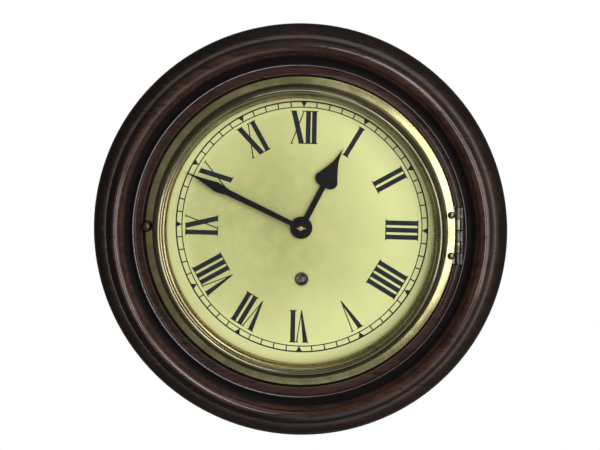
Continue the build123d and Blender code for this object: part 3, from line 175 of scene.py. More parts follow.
def cut_away(piece, cutter_shape):
    """Takes a bmesh's volume out of a piece for good."""
    mesh = bpy.data.meshes.new("cutter")
    cutter_shape.to_mesh(mesh)
    cutter_shape.free()
    cutter = bpy.data.objects.new("cutter", mesh)
    bpy.context.scene.collection.objects.link(cutter)
    cut = piece.modifiers.new("cut", "BOOLEAN")
    cut.operation = "DIFFERENCE"
    cut.solver = "EXACT"
    cut.object = cutter
    shown = piece.evaluated_get(bpy.context.evaluated_depsgraph_get())
    result = bpy.data.meshes.new_from_object(shown)
    piece.modifiers.remove(cut)
    old = piece.data
    piece.data = result
    result.name = piece.name
    bpy.data.meshes.remove(old)
    bpy.data.objects.remove(cutter)
    bpy.data.meshes.remove(mesh)
    result.set_sharp_from_angle(angle=SMOOTH_ANGLE)


def eased(node, body, finish, ease=0.3):
    """Copy of a CAD node with eased edges, which stands for it."""
    shape = bmesh.new()
    shape.from_mesh(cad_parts[node].data)
    bmesh.ops.remove_doubles(shape, verts=shape.verts, dist=JOIN)
    bmesh.ops.dissolve_limit(
        shape, angle_limit=math.radians(0.5), verts=shape.verts, edges=shape.edges
    )
    return finish_piece(f"{node}_finished", shape, body, finish, (node,), ease)


def outline_face(shape, points, to_place):
    """Face through flat outline points."""
    return shape.faces.new([shape.verts.new(to_place(across, up)) for across, up in points])


def raised(shape, height):
    """Thickens flat faces forward by height, with faces that point outwards."""
    flat = shape.faces[:]
    made = bmesh.ops.extrude_face_region(shape, geom=flat, use_keep_orig=True)
    moved = [part for part in made["geom"] if isinstance(part, bmesh.types.BMVert)]
    bmesh.ops.translate(shape, vec=(0, -height * MM, 0), verts=moved)
    bmesh.ops.recalc_face_normals(shape, faces=shape.faces)


# Finishes


class Value:
    """A number that runs over the surface; arithmetic on it adds Math nodes."""

    def __init__(self, finish, socket):
        self.finish = finish
        self.socket = socket

    def math(self, operation, *others):
        return Value(self.finish, self.finish.node(
            "Math", {"operation": operation}, {0: self, **{i + 1: o for i, o in enumerate(others)}}
        ).outputs[0])

    def reflected(self, operation, other):
        return Value(self.finish, self.finish.node(
            "Math", {"operation": operation}, {0: other, 1: self}
        ).outputs[0])

    def __add__(self, other):
        return self.math("ADD", other)

    def __sub__(self, other):
        return self.math("SUBTRACT", other)

    def __mul__(self, other):
        return self.math("MULTIPLY", other)

    def __truediv__(self, other):
        return self.math("DIVIDE", other)

    def __pow__(self, other):
        return self.math("POWER", other)

    def __rsub__(self, other):
        return self.reflected("SUBTRACT", other)

    __radd__ = __add__
    __rmul__ = __mul__

    def between(self, low, high):
        """0 below low, 1 above high, smooth between; low may be the higher one."""
        made = self.finish.node(
            "MapRange",
            {"interpolation_type": "SMOOTHSTEP", "clamp": True},
            {"Value": self, "From Min": low, "From Max": high, "To Min": 0.0, "To Max": 1.0},
        )
        return Value(self.finish, made.outputs["Result"])

    def band(self, low, high, soft):
        """1 between low and high, with soft edges."""
        return self.between(low - soft, low + soft) * self.between(high + soft, high - soft)


class NodeTree:
    """A cleared node tree, filled one node at a time."""

    def __init__(self, owner):
        owner.use_nodes = True
        self.tree = owner.node_tree
        self.tree.nodes.clear()

    def node(self, kind, settings=None, inputs=None):
        made = self.tree.nodes.new("ShaderNode" + kind)
        for key, setting in (settings or {}).items():
            if key == "stops":
                ramp = made.color_ramp.elements
                while len(ramp) < len(setting):
                    ramp.new(0.5)
                for element, (at, colour) in zip(ramp, setting):
                    element.position = at
                    element.color = (*colour, 1)
            else:
                setattr(made, key, setting)
        for key, given in (inputs or {}).items():
            self.feed(made.inputs[key], given)
        return made

    def feed(self, socket, given):
        if isinstance(given, Value):
            given = given.socket
        if isinstance(given, bpy.types.NodeSocket):
            self.tree.links.new(given, socket)
        elif isinstance(given, tuple) and socket.type == "RGBA":
            socket.default_value = (*given, 1)
        else:
            socket.default_value = given


class Finish(NodeTree):
    """A material made of nodes on the piece's own coordinates, in millimetres."""

    def __init__(self, name):
        self.material = bpy.data.materials.new(name)
        super().__init__(self.material)
        self.out = self.node("OutputMaterial")
        coordinates = self.node("TexCoord")
        scaled = self.node("VectorMath", {"operation": "SCALE"},
                           {0: coordinates.outputs["Object"], "Scale": 1 / MM})
        self.position = scaled.outputs[0]

    def moved(self, offset=(0, 0, 0), scale=(1, 1, 1), turn=(0, 0, 0)):
        """Coordinates shifted by offset, then turned and stretched."""
        made = self.node("Mapping", {"vector_type": "POINT"}, {
            "Vector": self.position, "Location": offset, "Scale": scale, "Rotation": turn})
        return made.outputs[0]

    def axes(self, offset=(0, 0, 0)):
        made = self.node("SeparateXYZ", {}, {0: self.moved(offset)})
        return [Value(self, socket) for socket in made.outputs]

    def noise(self, scale, vector=None, detail=3.0, roughness=0.55, distortion=0.0):
        made = self.node("TexNoise", {}, {
            "Vector": vector or self.position, "Scale": scale, "Detail": detail,
            "Roughness": roughness, "Distortion": distortion})
        return Value(self, made.outputs["Fac"])

    def cells(self, scale, vector=None):
        made = self.node("TexVoronoi", {}, {"Vector": vector or self.position, "Scale": scale})
        return Value(self, made.outputs["Distance"])

    def mix(self, factor, first, second):
        made = self.node("Mix", {"data_type": "RGBA"}, {0: factor, 6: first, 7: second})
        return made.outputs[2]

    def bump(self, height, distance, strength=1.0, normal=None):
        inputs = {"Height": height, "Distance": distance * MM, "Strength": strength}
        if normal:
            inputs["Normal"] = normal
        return self.node("Bump", {}, inputs).outputs[0]

    def surface(self, **sockets):
        shader = self.node("BsdfPrincipled", {}, {
            key.replace("_", " ").title().replace("Ior", "IOR"): given
            for key, given in sockets.items()
        })
        return self.shown(shader)

    def shown(self, shader):
        self.feed(self.out.inputs["Surface"], shader.outputs[0])
        return self.material


def rings(finish, offset):
    """Distance from the case's axis, and depth, of each point of a turned piece."""
    x, depth, z = finish.axes(offset)
    return (x * x + z * z) ** 0.5, depth * -1.0


CASE_OFFSET = (-CASE_X, 0, -CASE_Z)
BEZEL_OFFSET = (-BEZEL_X, 0, -CASE_Z)


def turned_wood():
    """Dark polished hardwood with open grain that runs across the ring.

    What depends on sunny or left is a tone or gloss that follows the photograph's light, not wear.
    """
    wood = Finish("polished_dark_hardwood")
    radius, depth = rings(wood, CASE_OFFSET)
    front = depth.between(79.6, 82.0)
    x, _, z = wood.axes(CASE_OFFSET)
    sunny = (x + z) / 215.0
    left = x.between(30.0, -30.0)
    flow = wood.moved(scale=(0.16, 1, 1))
    figure = wood.noise(0.055, flow, 4, 0.6, 1.4)
    streaks = wood.noise(0.5, wood.moved(scale=(0.07, 1, 1)), 4, 0.6)
    fibre = wood.noise(2.4, wood.moved(scale=(0.05, 1, 1)), 3)
    pores = wood.noise(1.15, wood.moved(scale=(0.085, 1, 1)), 2, 0.5).between(0.60, 0.70)
    tone = (figure * 0.55 + streaks * 0.5).between(0.38, 0.68)
    colour = wood.mix(tone, (0.0045, 0.0029, 0.0023), (0.025, 0.0118, 0.0083))
    colour = wood.mix(fibre.between(0.45, 0.75) * 0.40, colour, (0.060, 0.029, 0.019))
    rim = radius.between(145.5, 149.5)
    hollow = radius.band(123.0, 129.2, 0.9) * front
    quirk = radius.band(141.0, 141.7, 0.3) * front
    roll = radius.band(130.2, 139.8, 1.4) * front
    flat_band = radius.band(116.4, 121.4, 0.6) * front
    sheen = radius.band(141.9, 143.7, 1.8) * front
    arris = radius.band(122.0, 122.6, 0.15) * front
    inner_edge_highlight = radius.band(115.7, 116.2, 0.2) * front
    colour = wood.mix(roll * (0.25 + tone * 0.45), colour, (0.068, 0.033, 0.023))
    colour = wood.mix(flat_band * (0.20 + tone * 0.4), colour, (0.058, 0.027, 0.020))
    shaded = radius.band(136.9, 141.0, 0.8) * front * sunny.between(0.35, -0.55)
    colour = wood.mix(shaded * 0.9, colour, (0.0040, 0.0034, 0.0026))
    # Darker rounded outer rim: painted shade.
    colour = wood.mix(rim * 0.8, colour, (0.0065, 0.0055, 0.0045))
    # Grey sheen on the bead, stronger towards the upper right: a painted sheen.
    painted_sheen_strength = 0.42 + streaks * 0.2 + sunny * 0.38
    colour = wood.mix(sheen * painted_sheen_strength, colour, (0.120, 0.108, 0.096))
    # Near-black hollow slope between the arris and the roll: painted shade.
    colour = wood.mix(hollow * 0.90, colour, (0.0014, 0.0014, 0.0014))
    # Dark line in the quirk between the roll and the bead: painted shade.
    colour = wood.mix(quirk * 0.4, colour, (0.012, 0.009, 0.007))
    # Pale line on the arris, stronger on the left: a painted highlight.
    colour = wood.mix(arris * (0.20 + left * 0.50), colour, (0.34, 0.35, 0.37))
    # Pale line on the band's inner edge: a painted highlight.
    colour = wood.mix(inner_edge_highlight * 0.5, colour, (0.14, 0.115, 0.10))
    colour = wood.mix(pores * 0.75, colour, (0.004, 0.0025, 0.0025))
    dust = wood.noise(0.22, None, 5, 0.65).between(0.52, 0.78)
    rough = 0.34 + fibre * 0.16 + pores * 0.3 + dust * 0.10
    polish = left * radius.band(131.2, 135.4, 0.4) + (1 - left) * radius.band(136.2, 138.9, 0.5)
    shine = polish * 0.95 + arris + sheen * 0.3
    shine = (shine * front + flat_band * 0.14 + 0.03) * (1 - hollow)
    bump = wood.bump(pores * -1.0 + fibre * 0.22, 0.10, 0.75)
    bump = wood.bump(figure, 0.7, 0.25, bump)
    return wood.surface(
        base_color=colour, roughness=rough, specular_ior_level=0.05,
        coat_weight=shine * (1 - pores * 0.6), coat_roughness=0.09, coat_ior=1.5, normal=bump,
    )


def board_wood(name, stretch, dark=(0.052, 0.028, 0.017), light=(0.115, 0.060, 0.034)):
    """Stained softwood board; stretch is small along the grain."""
    wood = Finish(name)
    figure = wood.noise(0.05, wood.moved(scale=stretch), 3, 0.5, 1.6)
    rays = wood.noise(0.6, wood.moved(scale=stretch), 4, 0.65)
    fibre = wood.noise(3.2, wood.moved(scale=stretch), 2)
    growth = (figure * 16.0).math("SINE") * 0.5 + 0.5
    tone = (growth * 0.28 + rays * 0.8).between(0.22, 0.85)
    colour = wood.mix(tone, dark, light)
    grime = wood.noise(0.03, None, 5, 0.6).between(0.42, 0.72)
    colour = wood.mix(grime * 0.5, colour, (0.030, 0.018, 0.012))
    rough = 0.50 + fibre * 0.18 + grime * 0.12
    bump = wood.bump(rays * 0.6 + fibre * 0.4 + growth * 0.15, 0.09, 0.6)
    return wood.surface(
        base_color=colour, roughness=rough, specular_ior_level=0.25, normal=bump
    )


def bezel_metal():
    """Old lacquered brass, turned in rings, with tarnish spots, a darker step and an orange-brown lip.

    The dark line at the roll's foot and the dark outer edge of the flange are painted shade; the dark
    crest and the blue-grey streaks inside the roll are painted dark reflections, and the pale outer
    side of the roll is a painted reflection. The dark edge line at the upper right follows the
    photograph's light: a painted dark reflection.
    """
    brass = Finish("aged_bezel_brass")
    radius, depth = rings(brass, BEZEL_OFFSET)
    ring_place = brass.node("CombineXYZ", {}, {0: radius, 1: depth})
    lines = brass.noise(3.1, ring_place.outputs[0], 4, 0.75)
    wide_lines = brass.noise(0.55, ring_place.outputs[0], 2, 0.5)
    cloud = brass.noise(0.045, None, 5, 0.62, 0.8)
    spots = brass.noise(0.42, None, 4, 0.7).between(0.60, 0.74)
    colour = brass.mix(cloud.between(0.35, 0.68), (0.235, 0.205, 0.095), (0.385, 0.355, 0.175))
    colour = brass.mix(lines.between(0.35, 0.75) * 0.30, colour, (0.47, 0.44, 0.23))
    x, _, z = brass.axes(BEZEL_OFFSET)
    sunny = (x + z) / 160.0
    foot_painted_shade = radius.band(108.1, 108.7, 0.2)
    roll = radius.band(105.6, 108.0, 0.3)
    edge_line = radius.band(104.9, 105.5, 0.15) * sunny.between(-0.3, 0.4)
    crest_painted_reflection = radius.band(102.7, 104.6, 0.2)
    inside_painted_reflection = radius.band(101.4, 102.5, 0.25)
    step = radius.band(99.9, 101.3, 0.35)
    lip = radius.between(100.1, 99.3)
    tint = brass.noise(0.9, ring_place.outputs[0], 3, 0.7).between(0.35, 0.65)
    # Pale outer side of the roll: a painted reflection.
    colour = brass.mix(roll * 0.7, colour, (0.32, 0.305, 0.205))
    # Darker brass on the crest: a painted dark reflection.
    colour = brass.mix(crest_painted_reflection * 0.9, colour, (0.185, 0.170, 0.100))
    colour = brass.mix(edge_line * 0.85, colour, (0.045, 0.050, 0.058))
    # Blue-grey streaks inside the roll: a painted dark reflection.
    painted_reflection_colour = brass.mix(tint, (0.050, 0.056, 0.066), (0.150, 0.115, 0.135))
    colour = brass.mix(inside_painted_reflection * 0.9, colour, painted_reflection_colour)
    colour = brass.mix(step * 0.55, colour, (0.17, 0.135, 0.070))
    colour = brass.mix(lip * 0.6, colour, (0.20, 0.120, 0.050))
    # Dark line at the roll's foot: painted shade in the crease.
    colour = brass.mix(foot_painted_shade * 0.8, colour, (0.030, 0.025, 0.016))
    # Darker outer edge of the flange: painted shade of the gap to the wood.
    colour = brass.mix(radius.between(113.5, 114.1) * 0.6, colour, (0.080, 0.060, 0.036))
    colour = brass.mix(spots * 0.35, colour, (0.10, 0.075, 0.04))
    rough = 0.15 + cloud * 0.06 + spots * 0.14 + foot_painted_shade * 0.3 + lines * 0.04 - crest_painted_reflection * 0.10
    rough = rough + roll * 0.16
    bump = brass.bump(lines, 0.02, 0.30)
    bump = brass.bump(wide_lines + cloud * 0.4, 0.10, 0.22, bump)
    return brass.surface(base_color=colour, metallic=1.0, roughness=rough, normal=bump)


def worn_metal(name, dark, light, rough=0.35, scratch=(1, 1, 1), joints=()):
    """Brushed metal with tarnish in patches and near-black bands at the heights of its joints."""
    metal = Finish(name)
    cloud = metal.noise(0.16, None, 5, 0.65, 0.5)
    brushed = metal.noise(4.0, metal.moved(scale=scratch), 3, 0.6)
    spots = metal.noise(0.9, None, 4, 0.7).between(0.58, 0.72)
    colour = metal.mix(cloud.between(0.32, 0.70), dark, light)
    colour = metal.mix(spots * 0.35, colour, tuple(part * 0.45 for part in dark))
    height = metal.axes()[2]
    for joint in joints:
        # Near-black band at each joint's height.
        joint_darkening = height.band(joint - 0.35, joint + 0.35, 0.25)
        colour = metal.mix(joint_darkening * 0.9, colour, (0.006, 0.005, 0.006))
    roughness = rough + cloud * 0.12 + spots * 0.18 - 0.06
    bump = metal.bump(brushed + cloud * 0.6, 0.03, 0.45)
    return metal.surface(base_color=colour, metallic=1.0, roughness=roughness, normal=bump)


def dial_lacquer():
    """Pale greenish cream lacquer on the front of the dial, bare brass behind.

    Its change in tone from left to right follows the photograph; it and the lighter rim are painted
    light.
    """
    dial = Finish("dial_lacquer")
    x, depth, z = dial.axes()
    front = (depth * -1.0).between(DIAL_FRONT - 0.3, DIAL_FRONT - 0.1)
    cloud = dial.noise(0.014, None, 4, 0.5)
    mottle = dial.noise(0.10, None, 5, 0.65)
    grain = dial.noise(1.1, None, 3, 0.7)
    specks = dial.cells(0.30).between(0.16, 0.10) * dial.noise(0.6, None, 2).between(0.60, 0.70)
    edge = (x * x + z * z) ** 0.5
    # Lighter towards the rim: painted light.
    painted_rim_light = (edge * 0.01) ** 2.0
    # Lighter to the right and slightly lighter lower down: painted light; the cloud term is random
    # tone.
    tone_and_painted_light = x * 0.0034 - z * 0.0009 + 0.40 + painted_rim_light * 0.65 + (cloud - 0.5) * 0.7
    colour = dial.mix(tone_and_painted_light.math("MINIMUM", 1.0).math("MAXIMUM", 0.0),
                      (0.265, 0.275, 0.080), (0.740, 0.750, 0.345))
    colour = dial.mix(mottle.between(0.40, 0.72) * 0.25, colour, (0.690, 0.680, 0.300))
    colour = dial.mix(grain.between(0.5, 0.8) * 0.22, colour, (0.450, 0.450, 0.170))
    colour = dial.mix(specks * 0.35, colour, (0.320, 0.270, 0.120))
    # Lighter band near the rim: painted light.
    colour = dial.mix(edge.between(80.0, 93.0) * 0.30, colour, (0.860, 0.870, 0.450))
    colour = dial.mix(edge.between(98.0, 101.0) * 0.25, colour, (0.560, 0.500, 0.200))
    from_hole, _ = rings(dial, (0, 0, -WINDING_Z))
    colour = dial.mix(from_hole.between(7.5, 4.2) * 0.40, colour, (0.330, 0.270, 0.120))
    colour = dial.mix(front, (0.30, 0.24, 0.10), colour)
    rough = 0.42 + mottle * 0.16 + grain * 0.06
    bump = dial.bump(mottle * 0.7 + grain * 0.3, 0.035, 0.4)
    return dial.surface(
        base_color=colour, roughness=rough, metallic=(1 - front) * 0.9,
        specular_ior_level=0.25, normal=bump,
    )


def enamel(name, colour, worn, rough=0.35, level=0.3):
    """Black paint or enamel with faint wear."""
    paint = Finish(name)
    cloud = paint.noise(0.35, None, 5, 0.65)
    wear = paint.noise(1.6, None, 4, 0.7).between(0.58, 0.78)
    mixed = paint.mix(cloud.between(0.3, 0.7) * 0.6 + wear * 0.3, colour, worn)
    bump = paint.bump(cloud + wear * 0.5, 0.03, 0.4)
    return paint.surface(
        base_color=mixed, roughness=rough + cloud * 0.15 + wear * 0.15,
        specular_ior_level=level, normal=bump,
    )


def window_glass():
    """Thin clear glass with a weak reflection."""
    glass = Finish("clear_glass")
    ripple = glass.noise(0.02, None, 2)
    smear = glass.noise(0.05, glass.moved(scale=(1, 1, 0.3)), 4).between(0.45, 0.75)
    facing = glass.node("LayerWeight", {}, {"Blend": 0.25})
    edge = Value(glass, facing.outputs["Facing"])
    factor = 0.004 + (edge ** 3.0) * 0.30 + smear * 0.0015
    clear = glass.node("BsdfTransparent", {}, {"Color": (0.985, 0.99, 0.98)})
    bright = glass.node("BsdfPrincipled", {}, {
        "Base Color": (0.9, 0.92, 0.92), "Metallic": 1.0, "Roughness": 0.03,
        "Normal": glass.bump(ripple, 0.4, 0.2)})
    mixed = glass.node("MixShader", {}, {0: factor, 1: clear.outputs[0], 2: bright.outputs[0]})
    return glass.shown(mixed)


HARDWOOD = turned_wood()
UPRIGHT_WOOD = board_wood("stained_wood_upright", (1, 1, 0.06))
LEVEL_WOOD = board_wood("stained_wood_level", (0.06, 1, 1))
PEG_WOOD = board_wood("oak_pegs", (0.08, 1, 1), (0.10, 0.06, 0.03), (0.26, 0.16, 0.08))
BEZEL_BRASS = bezel_metal()
KNOB_METAL = worn_metal("dark_knob_bronze", (0.040, 0.026, 0.020), (0.105, 0.075, 0.058), 0.36)
KNUCKLES = [HINGE_Z + share * KNUCKLE for share in (-1.5, -0.5, 0.5, 1.5)]
HINGE_METAL = worn_metal(
    "dull_hinge_metal", (0.085, 0.078, 0.060), (0.300, 0.280, 0.220), 0.34, (1, 1, 0.2), KNUCKLES
)
LEAF_METAL = worn_metal(
    "dark_hinge_leaf", (0.040, 0.036, 0.034), (0.140, 0.128, 0.112), 0.38, (1, 1, 0.2), KNUCKLES
)
RIVET_METAL = worn_metal("brown_screw_heads", (0.060, 0.036, 0.020), (0.260, 0.170, 0.085), 0.20)
BOX_BRASS = worn_metal("box_fittings_brass", (0.16, 0.115, 0.045), (0.36, 0.28, 0.12), 0.34)
DIAL = dial_lacquer()
FIGURE_INK = enamel("figure_paint", (0.0100, 0.0125, 0.0165), (0.028, 0.034, 0.040), 0.5, 0.15)
HAND_BLACK = enamel("hand_enamel", (0.0032, 0.0032, 0.0036), (0.009, 0.009, 0.010), 0.34, 0.12)
GLASS = window_glass()
PLATE_BRASS = worn_metal(
    "movement_plate_brass", (0.30, 0.23, 0.095), (0.50, 0.40, 0.18), 0.30, (1, 1, 0.08)
)
WHEEL_BRASS = worn_metal("wheel_brass", (0.34, 0.26, 0.10), (0.56, 0.45, 0.20), 0.26)
STEEL = worn_metal("polished_steel", (0.16, 0.16, 0.17), (0.36, 0.36, 0.37), 0.26)
ARBOR_STEEL = worn_metal("warm_arbor_end", (0.30, 0.20, 0.11), (0.62, 0.48, 0.30), 0.24)
WINDING_STEEL = worn_metal(
    "browned_winding_arbor", (0.090, 0.075, 0.065), (0.33, 0.29, 0.26), 0.24
)
COLLET_METAL = worn_metal(
    "blackened_collet", (0.010, 0.008, 0.007), (0.040, 0.026, 0.018), 0.32
)


# Surround


def make_surround():
    """Turned ring: recess, band, arris with a painted highlight, hollow slope, roll, quirk, bead and
    rounded edge.
    """
    turning = Turning(RIM_RADIUS - RIM_ROUND, WOOD_BACK)
    turning.line((84.0, WOOD_BACK), (84.0, 76.8), (105.2, 76.8), (105.2, 80.2), (115.6, 80.2))
    turning.line((115.6, 84.3)).arc((115.7, 84.53), (115.95, 84.6), 3)
    turning.arc((118.8, 84.2), (121.8, 84.55), 10)
    turning.line((121.95, 84.8), (121.95, 86.9)).arc((122.3, 87.25), (122.65, 87.0), 5)
    turning.arc((127.2, 86.9), (131.6, 89.7), 14)
    turning.arc((136.35, 94.5), (141.1, 90.2), 34)
    turning.line((141.15, 88.8)).arc((141.4, 88.6), (141.65, 88.8), 4)
    turning.arc((143.4, 89.2), (147.4, 87.2), 20)
    turning.arc((150.9, 83.9), (RIM_RADIUS, 80.0), 14)
    turning.line((RIM_RADIUS, 67.6))
    turning.arc((152.0, 66.4), (RIM_RADIUS - RIM_ROUND, WOOD_BACK), 5)
    piece = finish_piece(
        "turned_surround", turning.spun(), "case", HARDWOOD, ("surround",)
    )
    hinge_pocket = block(place(107.4, 90.0, -26.1), place(118.3, 79.2, 16.5))
    cut_away(piece, hinge_pocket)


# Dial


STROKE = 3.5
STROKE_GAP = 1.75
CLOSE_GAP = 0.95
FIGURE_HEIGHT = 24.3
FIGURE_FOOT = 61.7
SERIF = 0.55
SERIF_REACH = 0.85
V_WIDTH = 10.4
X_WIDTH = 11.3
HAIR = 0.85
LETTER_GAP = 0.6
OUTER_TRACK = 92.8
INNER_TRACK = 88.6
TRACK_LINE = 1.05
FINE_LINE = 0.75
DART_HALF = 2.1
DIAL_TURN = 1.2


def on_dial(turn):
    """Gives the place on the dial, turned clockwise, of points across and up from its centre."""
    def at(across, up):
        return place(across * math.cos(turn) + up * math.sin(turn), DIAL_FRONT,
                     up * math.cos(turn) - across * math.sin(turn))
    return at


def crossing(first, second, third, fourth):
    """Point where the line through the first two points meets the line through the others."""
    ax, ay = second[0] - first[0], second[1] - first[1]
    bx, by = fourth[0] - third[0], fourth[1] - third[1]
    share = ((third[0] - first[0]) * by - (third[1] - first[1]) * bx) / (ax * by - ay * bx)
    return (first[0] + share * ax, first[1] + share * ay)


def stem_outline():
    half = STROKE / 2
    out = half + SERIF_REACH
    right = [(out, 0), (out, SERIF), (half, SERIF * 1.8), (half, FIGURE_HEIGHT - SERIF * 1.8),
             (out, FIGURE_HEIGHT - SERIF), (out, FIGURE_HEIGHT)]
    return right + [(-across, up) for across, up in reversed(right)]


def vee_outline():
    top = FIGURE_HEIGHT
    low = top - SERIF
    left = -V_WIDTH / 2 + SERIF_REACH
    right = V_WIDTH / 2 - SERIF_REACH
    left_inner = left + STROKE * 1.06
    right_inner = right - HAIR
    tip_left, tip_right = (0.35, 0), (0.95, 0)
    crotch = crossing((left_inner, low), (tip_right[0] + 0.55, 0), (right_inner, low), tip_left)
    return [
        tip_right, (right, low), (right + SERIF_REACH, low), (right + SERIF_REACH, top),
        (right_inner - SERIF_REACH, top), (right_inner - SERIF_REACH, low), (right_inner, low),
        crotch, (left_inner, low), (left_inner + SERIF_REACH, low), (left_inner + SERIF_REACH, top),
        (left - SERIF_REACH, top), (left - SERIF_REACH, low), (left, low), tip_left,
    ]


def cross_outline():
    """X: the thick stroke falls to the right, the thin one rises to the right."""
    top = FIGURE_HEIGHT
    low = top - SERIF
    half = X_WIDTH / 2 - SERIF_REACH
    thick = STROKE * 1.10
    thick_left = ((-half, low), (half - thick, SERIF))
    thick_right = ((-half + thick, low), (half, SERIF))
    thin_left = ((half - HAIR, low), (-half, SERIF))
    thin_right = ((half, low), (-half + HAIR, SERIF))
    reach = SERIF_REACH
    return [
        (-half - reach, top), (-half - reach, low), thick_left[0],
        crossing(*thick_left, *thin_left),
        thin_left[1], (-half - reach, SERIF), (-half - reach, 0),
        (-half + HAIR + reach, 0), (-half + HAIR + reach, SERIF), thin_right[1],
        crossing(*thick_left, *thin_right),
        thick_left[1], (half - thick - reach / 2, SERIF), (half - thick - reach / 2, 0),
        (half + reach, 0), (half + reach, SERIF), thick_right[1],
        crossing(*thick_right, *thin_right),
        thin_right[0], (half + reach, low), (half + reach, top),
        (half - HAIR - reach, top), (half - HAIR - reach, low), thin_left[0],
        crossing(*thick_right, *thin_left),
        thick_right[0], (-half + thick + reach / 2, low), (-half + thick + reach / 2, top),
    ]


LETTERS = {"I": (STROKE, stem_outline), "V": (V_WIDTH - 1.2, vee_outline),
           "X": (X_WIDTH - 0.6, cross_outline)}
HOURS = ("XII", "I", "II", "III", "IIII", "V", "VI", "VII", "VIII", "IX", "X", "XI")


def make_figures():
    """Roman hour figures, upright towards the rim, painted on the dial."""
    for hour, figure in enumerate(HOURS):
        shape = bmesh.new()
        turn = math.radians(30 * hour + DIAL_TURN)
        stroke_gap = STROKE_GAP if figure != "XII" else CLOSE_GAP
        gaps = [stroke_gap if pair == "II" else LETTER_GAP for pair in
                (figure[i:i + 2] for i in range(len(figure) - 1))]
        width = sum(LETTERS[letter][0] for letter in figure) + sum(gaps)
        start = -width / 2
        for letter, gap in zip(figure, gaps + [0]):
            advance, outline = LETTERS[letter]
            middle = start + advance / 2
            points = [(across + middle, up + FIGURE_FOOT) for across, up in outline()]
            outline_face(shape, points, on_dial(turn))
            start += advance + gap
        raised(shape, INK)
        finish_piece(f"hour_figure_{hour or 12}", shape, "case", FIGURE_INK)


def make_minute_track():
    """Two circles with a short line at each minute and a dart at each fifth."""
    shape = bmesh.new()
    for radius, line in ((OUTER_TRACK, TRACK_LINE), (INNER_TRACK, FINE_LINE)):
        vert = shape.verts.new(place(radius - line / 2, DIAL_FRONT, 0))
        other = shape.verts.new(place(radius + line / 2, DIAL_FRONT, 0))
        edge = shape.edges.new((vert, other))
        bmesh.ops.spin(shape, geom=[vert, other, edge], cent=(0, 0, 0), axis=(0, 1, 0),
                       angle=math.tau, steps=240, use_merge=True)
    low = INNER_TRACK + FINE_LINE / 2
    high = OUTER_TRACK - TRACK_LINE / 2
    for minute in range(60):
        turn = math.radians(6 * minute + DIAL_TURN)
        if minute % 5:
            half = FINE_LINE / 2 + 0.06
            outline = [(-half, low), (half, low), (half, high), (-half, high)]
        else:
            half = FINE_LINE / 2
            outline = [(-half, low), (half, low), (half * 1.3, low + 0.6), (DART_HALF, high),
                       (-DART_HALF, high), (-half * 1.3, low + 0.6)]
        outline_face(shape, outline, on_dial(turn))
    bmesh.ops.remove_doubles(shape, verts=shape.verts, dist=JOIN)
    raised(shape, INK)
    finish_piece("minute_track", shape, "case", FIGURE_INK)


def make_winding_eyelet():
    """Thin black eyelet around the winding hole; its black is painted shade of the hole's mouth."""
    turning = Turning(4.2, DIAL_FRONT, 0, WINDING_Z)
    turning.line((5.0, DIAL_FRONT), (4.95, 78.2)).arc((4.65, 78.4), (4.25, 78.25), 5)
    finish_piece("winding_eyelet", turning.spun(64), "case", HAND_BLACK)


# Bezel


def make_bezel():
    """Spun brass ring: flat flange, groove, roll and a stepped slope down to the glass."""
    turning = Turning(101.65, BEZEL_BACK, BEZEL_X)
    turning.line((113.9, BEZEL_BACK), (FLANGE_EDGE, 80.8), (FLANGE_EDGE, 82.65))
    turning.arc((114.1, 82.9), (113.85, 82.98), 3)
    turning.line((108.75, FLANGE_FRONT), (108.6, 82.75), (108.25, 82.75))
    turning.arc((107.3, 91.0), (104.0, 95.1), 26)
    turning.arc((102.4, 94.75), (101.7, 93.4), 8)
    turning.line((101.2, 93.3)).arc((100.6, 92.2), (99.7, 91.4), 6)
    turning.arc((99.1, 91.15), (BEZEL_OPENING, 90.75), 4)
    turning.line((BEZEL_OPENING, GLASS_FRONT), (101.65, GLASS_FRONT))
    shape = turning.spun()
    hinge_flat = place(CASE_X + 114.15, 0, 0)
    everything = shape.verts[:] + shape.edges[:] + shape.faces[:]
    cut = bmesh.ops.bisect_plane(
        shape, geom=everything, dist=JOIN, plane_co=hinge_flat, plane_no=(1, 0, 0),
        clear_outer=True,
    )
    edges = [part for part in cut["geom_cut"] if isinstance(part, bmesh.types.BMEdge)]
    bmesh.ops.edgeloop_fill(shape, edges=edges)
    finish_piece("bezel_ring", shape, "bezel", BEZEL_BRASS, ("bezel",))


def make_sight_ring():
    """Slim brass ring between the glass and the dial."""
    turning = Turning(GLASS_RADIUS, 82.5, BEZEL_X)
    turning.line((GLASS_RADIUS, GLASS_BACK), (BEZEL_OPENING, GLASS_BACK))
    turning.arc((98.2, 86.0), (98.0, 83.7), 8)
    turning.line((98.0, 82.7), (98.2, 82.5))
    finish_piece(
        "sight_ring_turned", turning.spun(), "bezel", BEZEL_BRASS, ("sight_ring",)
    )


def make_glass():
    """Flat glass with ground edges."""
    ground = GLASS_RADIUS - GLASS_GRIND
    turning = Turning(0, GLASS_BACK, BEZEL_X)
    turning.line((ground, GLASS_BACK), (GLASS_RADIUS, GLASS_BACK + GLASS_GRIND))
    turning.line((GLASS_RADIUS, GLASS_FRONT - GLASS_GRIND), (ground, GLASS_FRONT), (0, GLASS_FRONT))
    finish_piece(
        "flat_glass", turning.spun(144, False), "bezel", GLASS, ("bezel_glass",)
    )


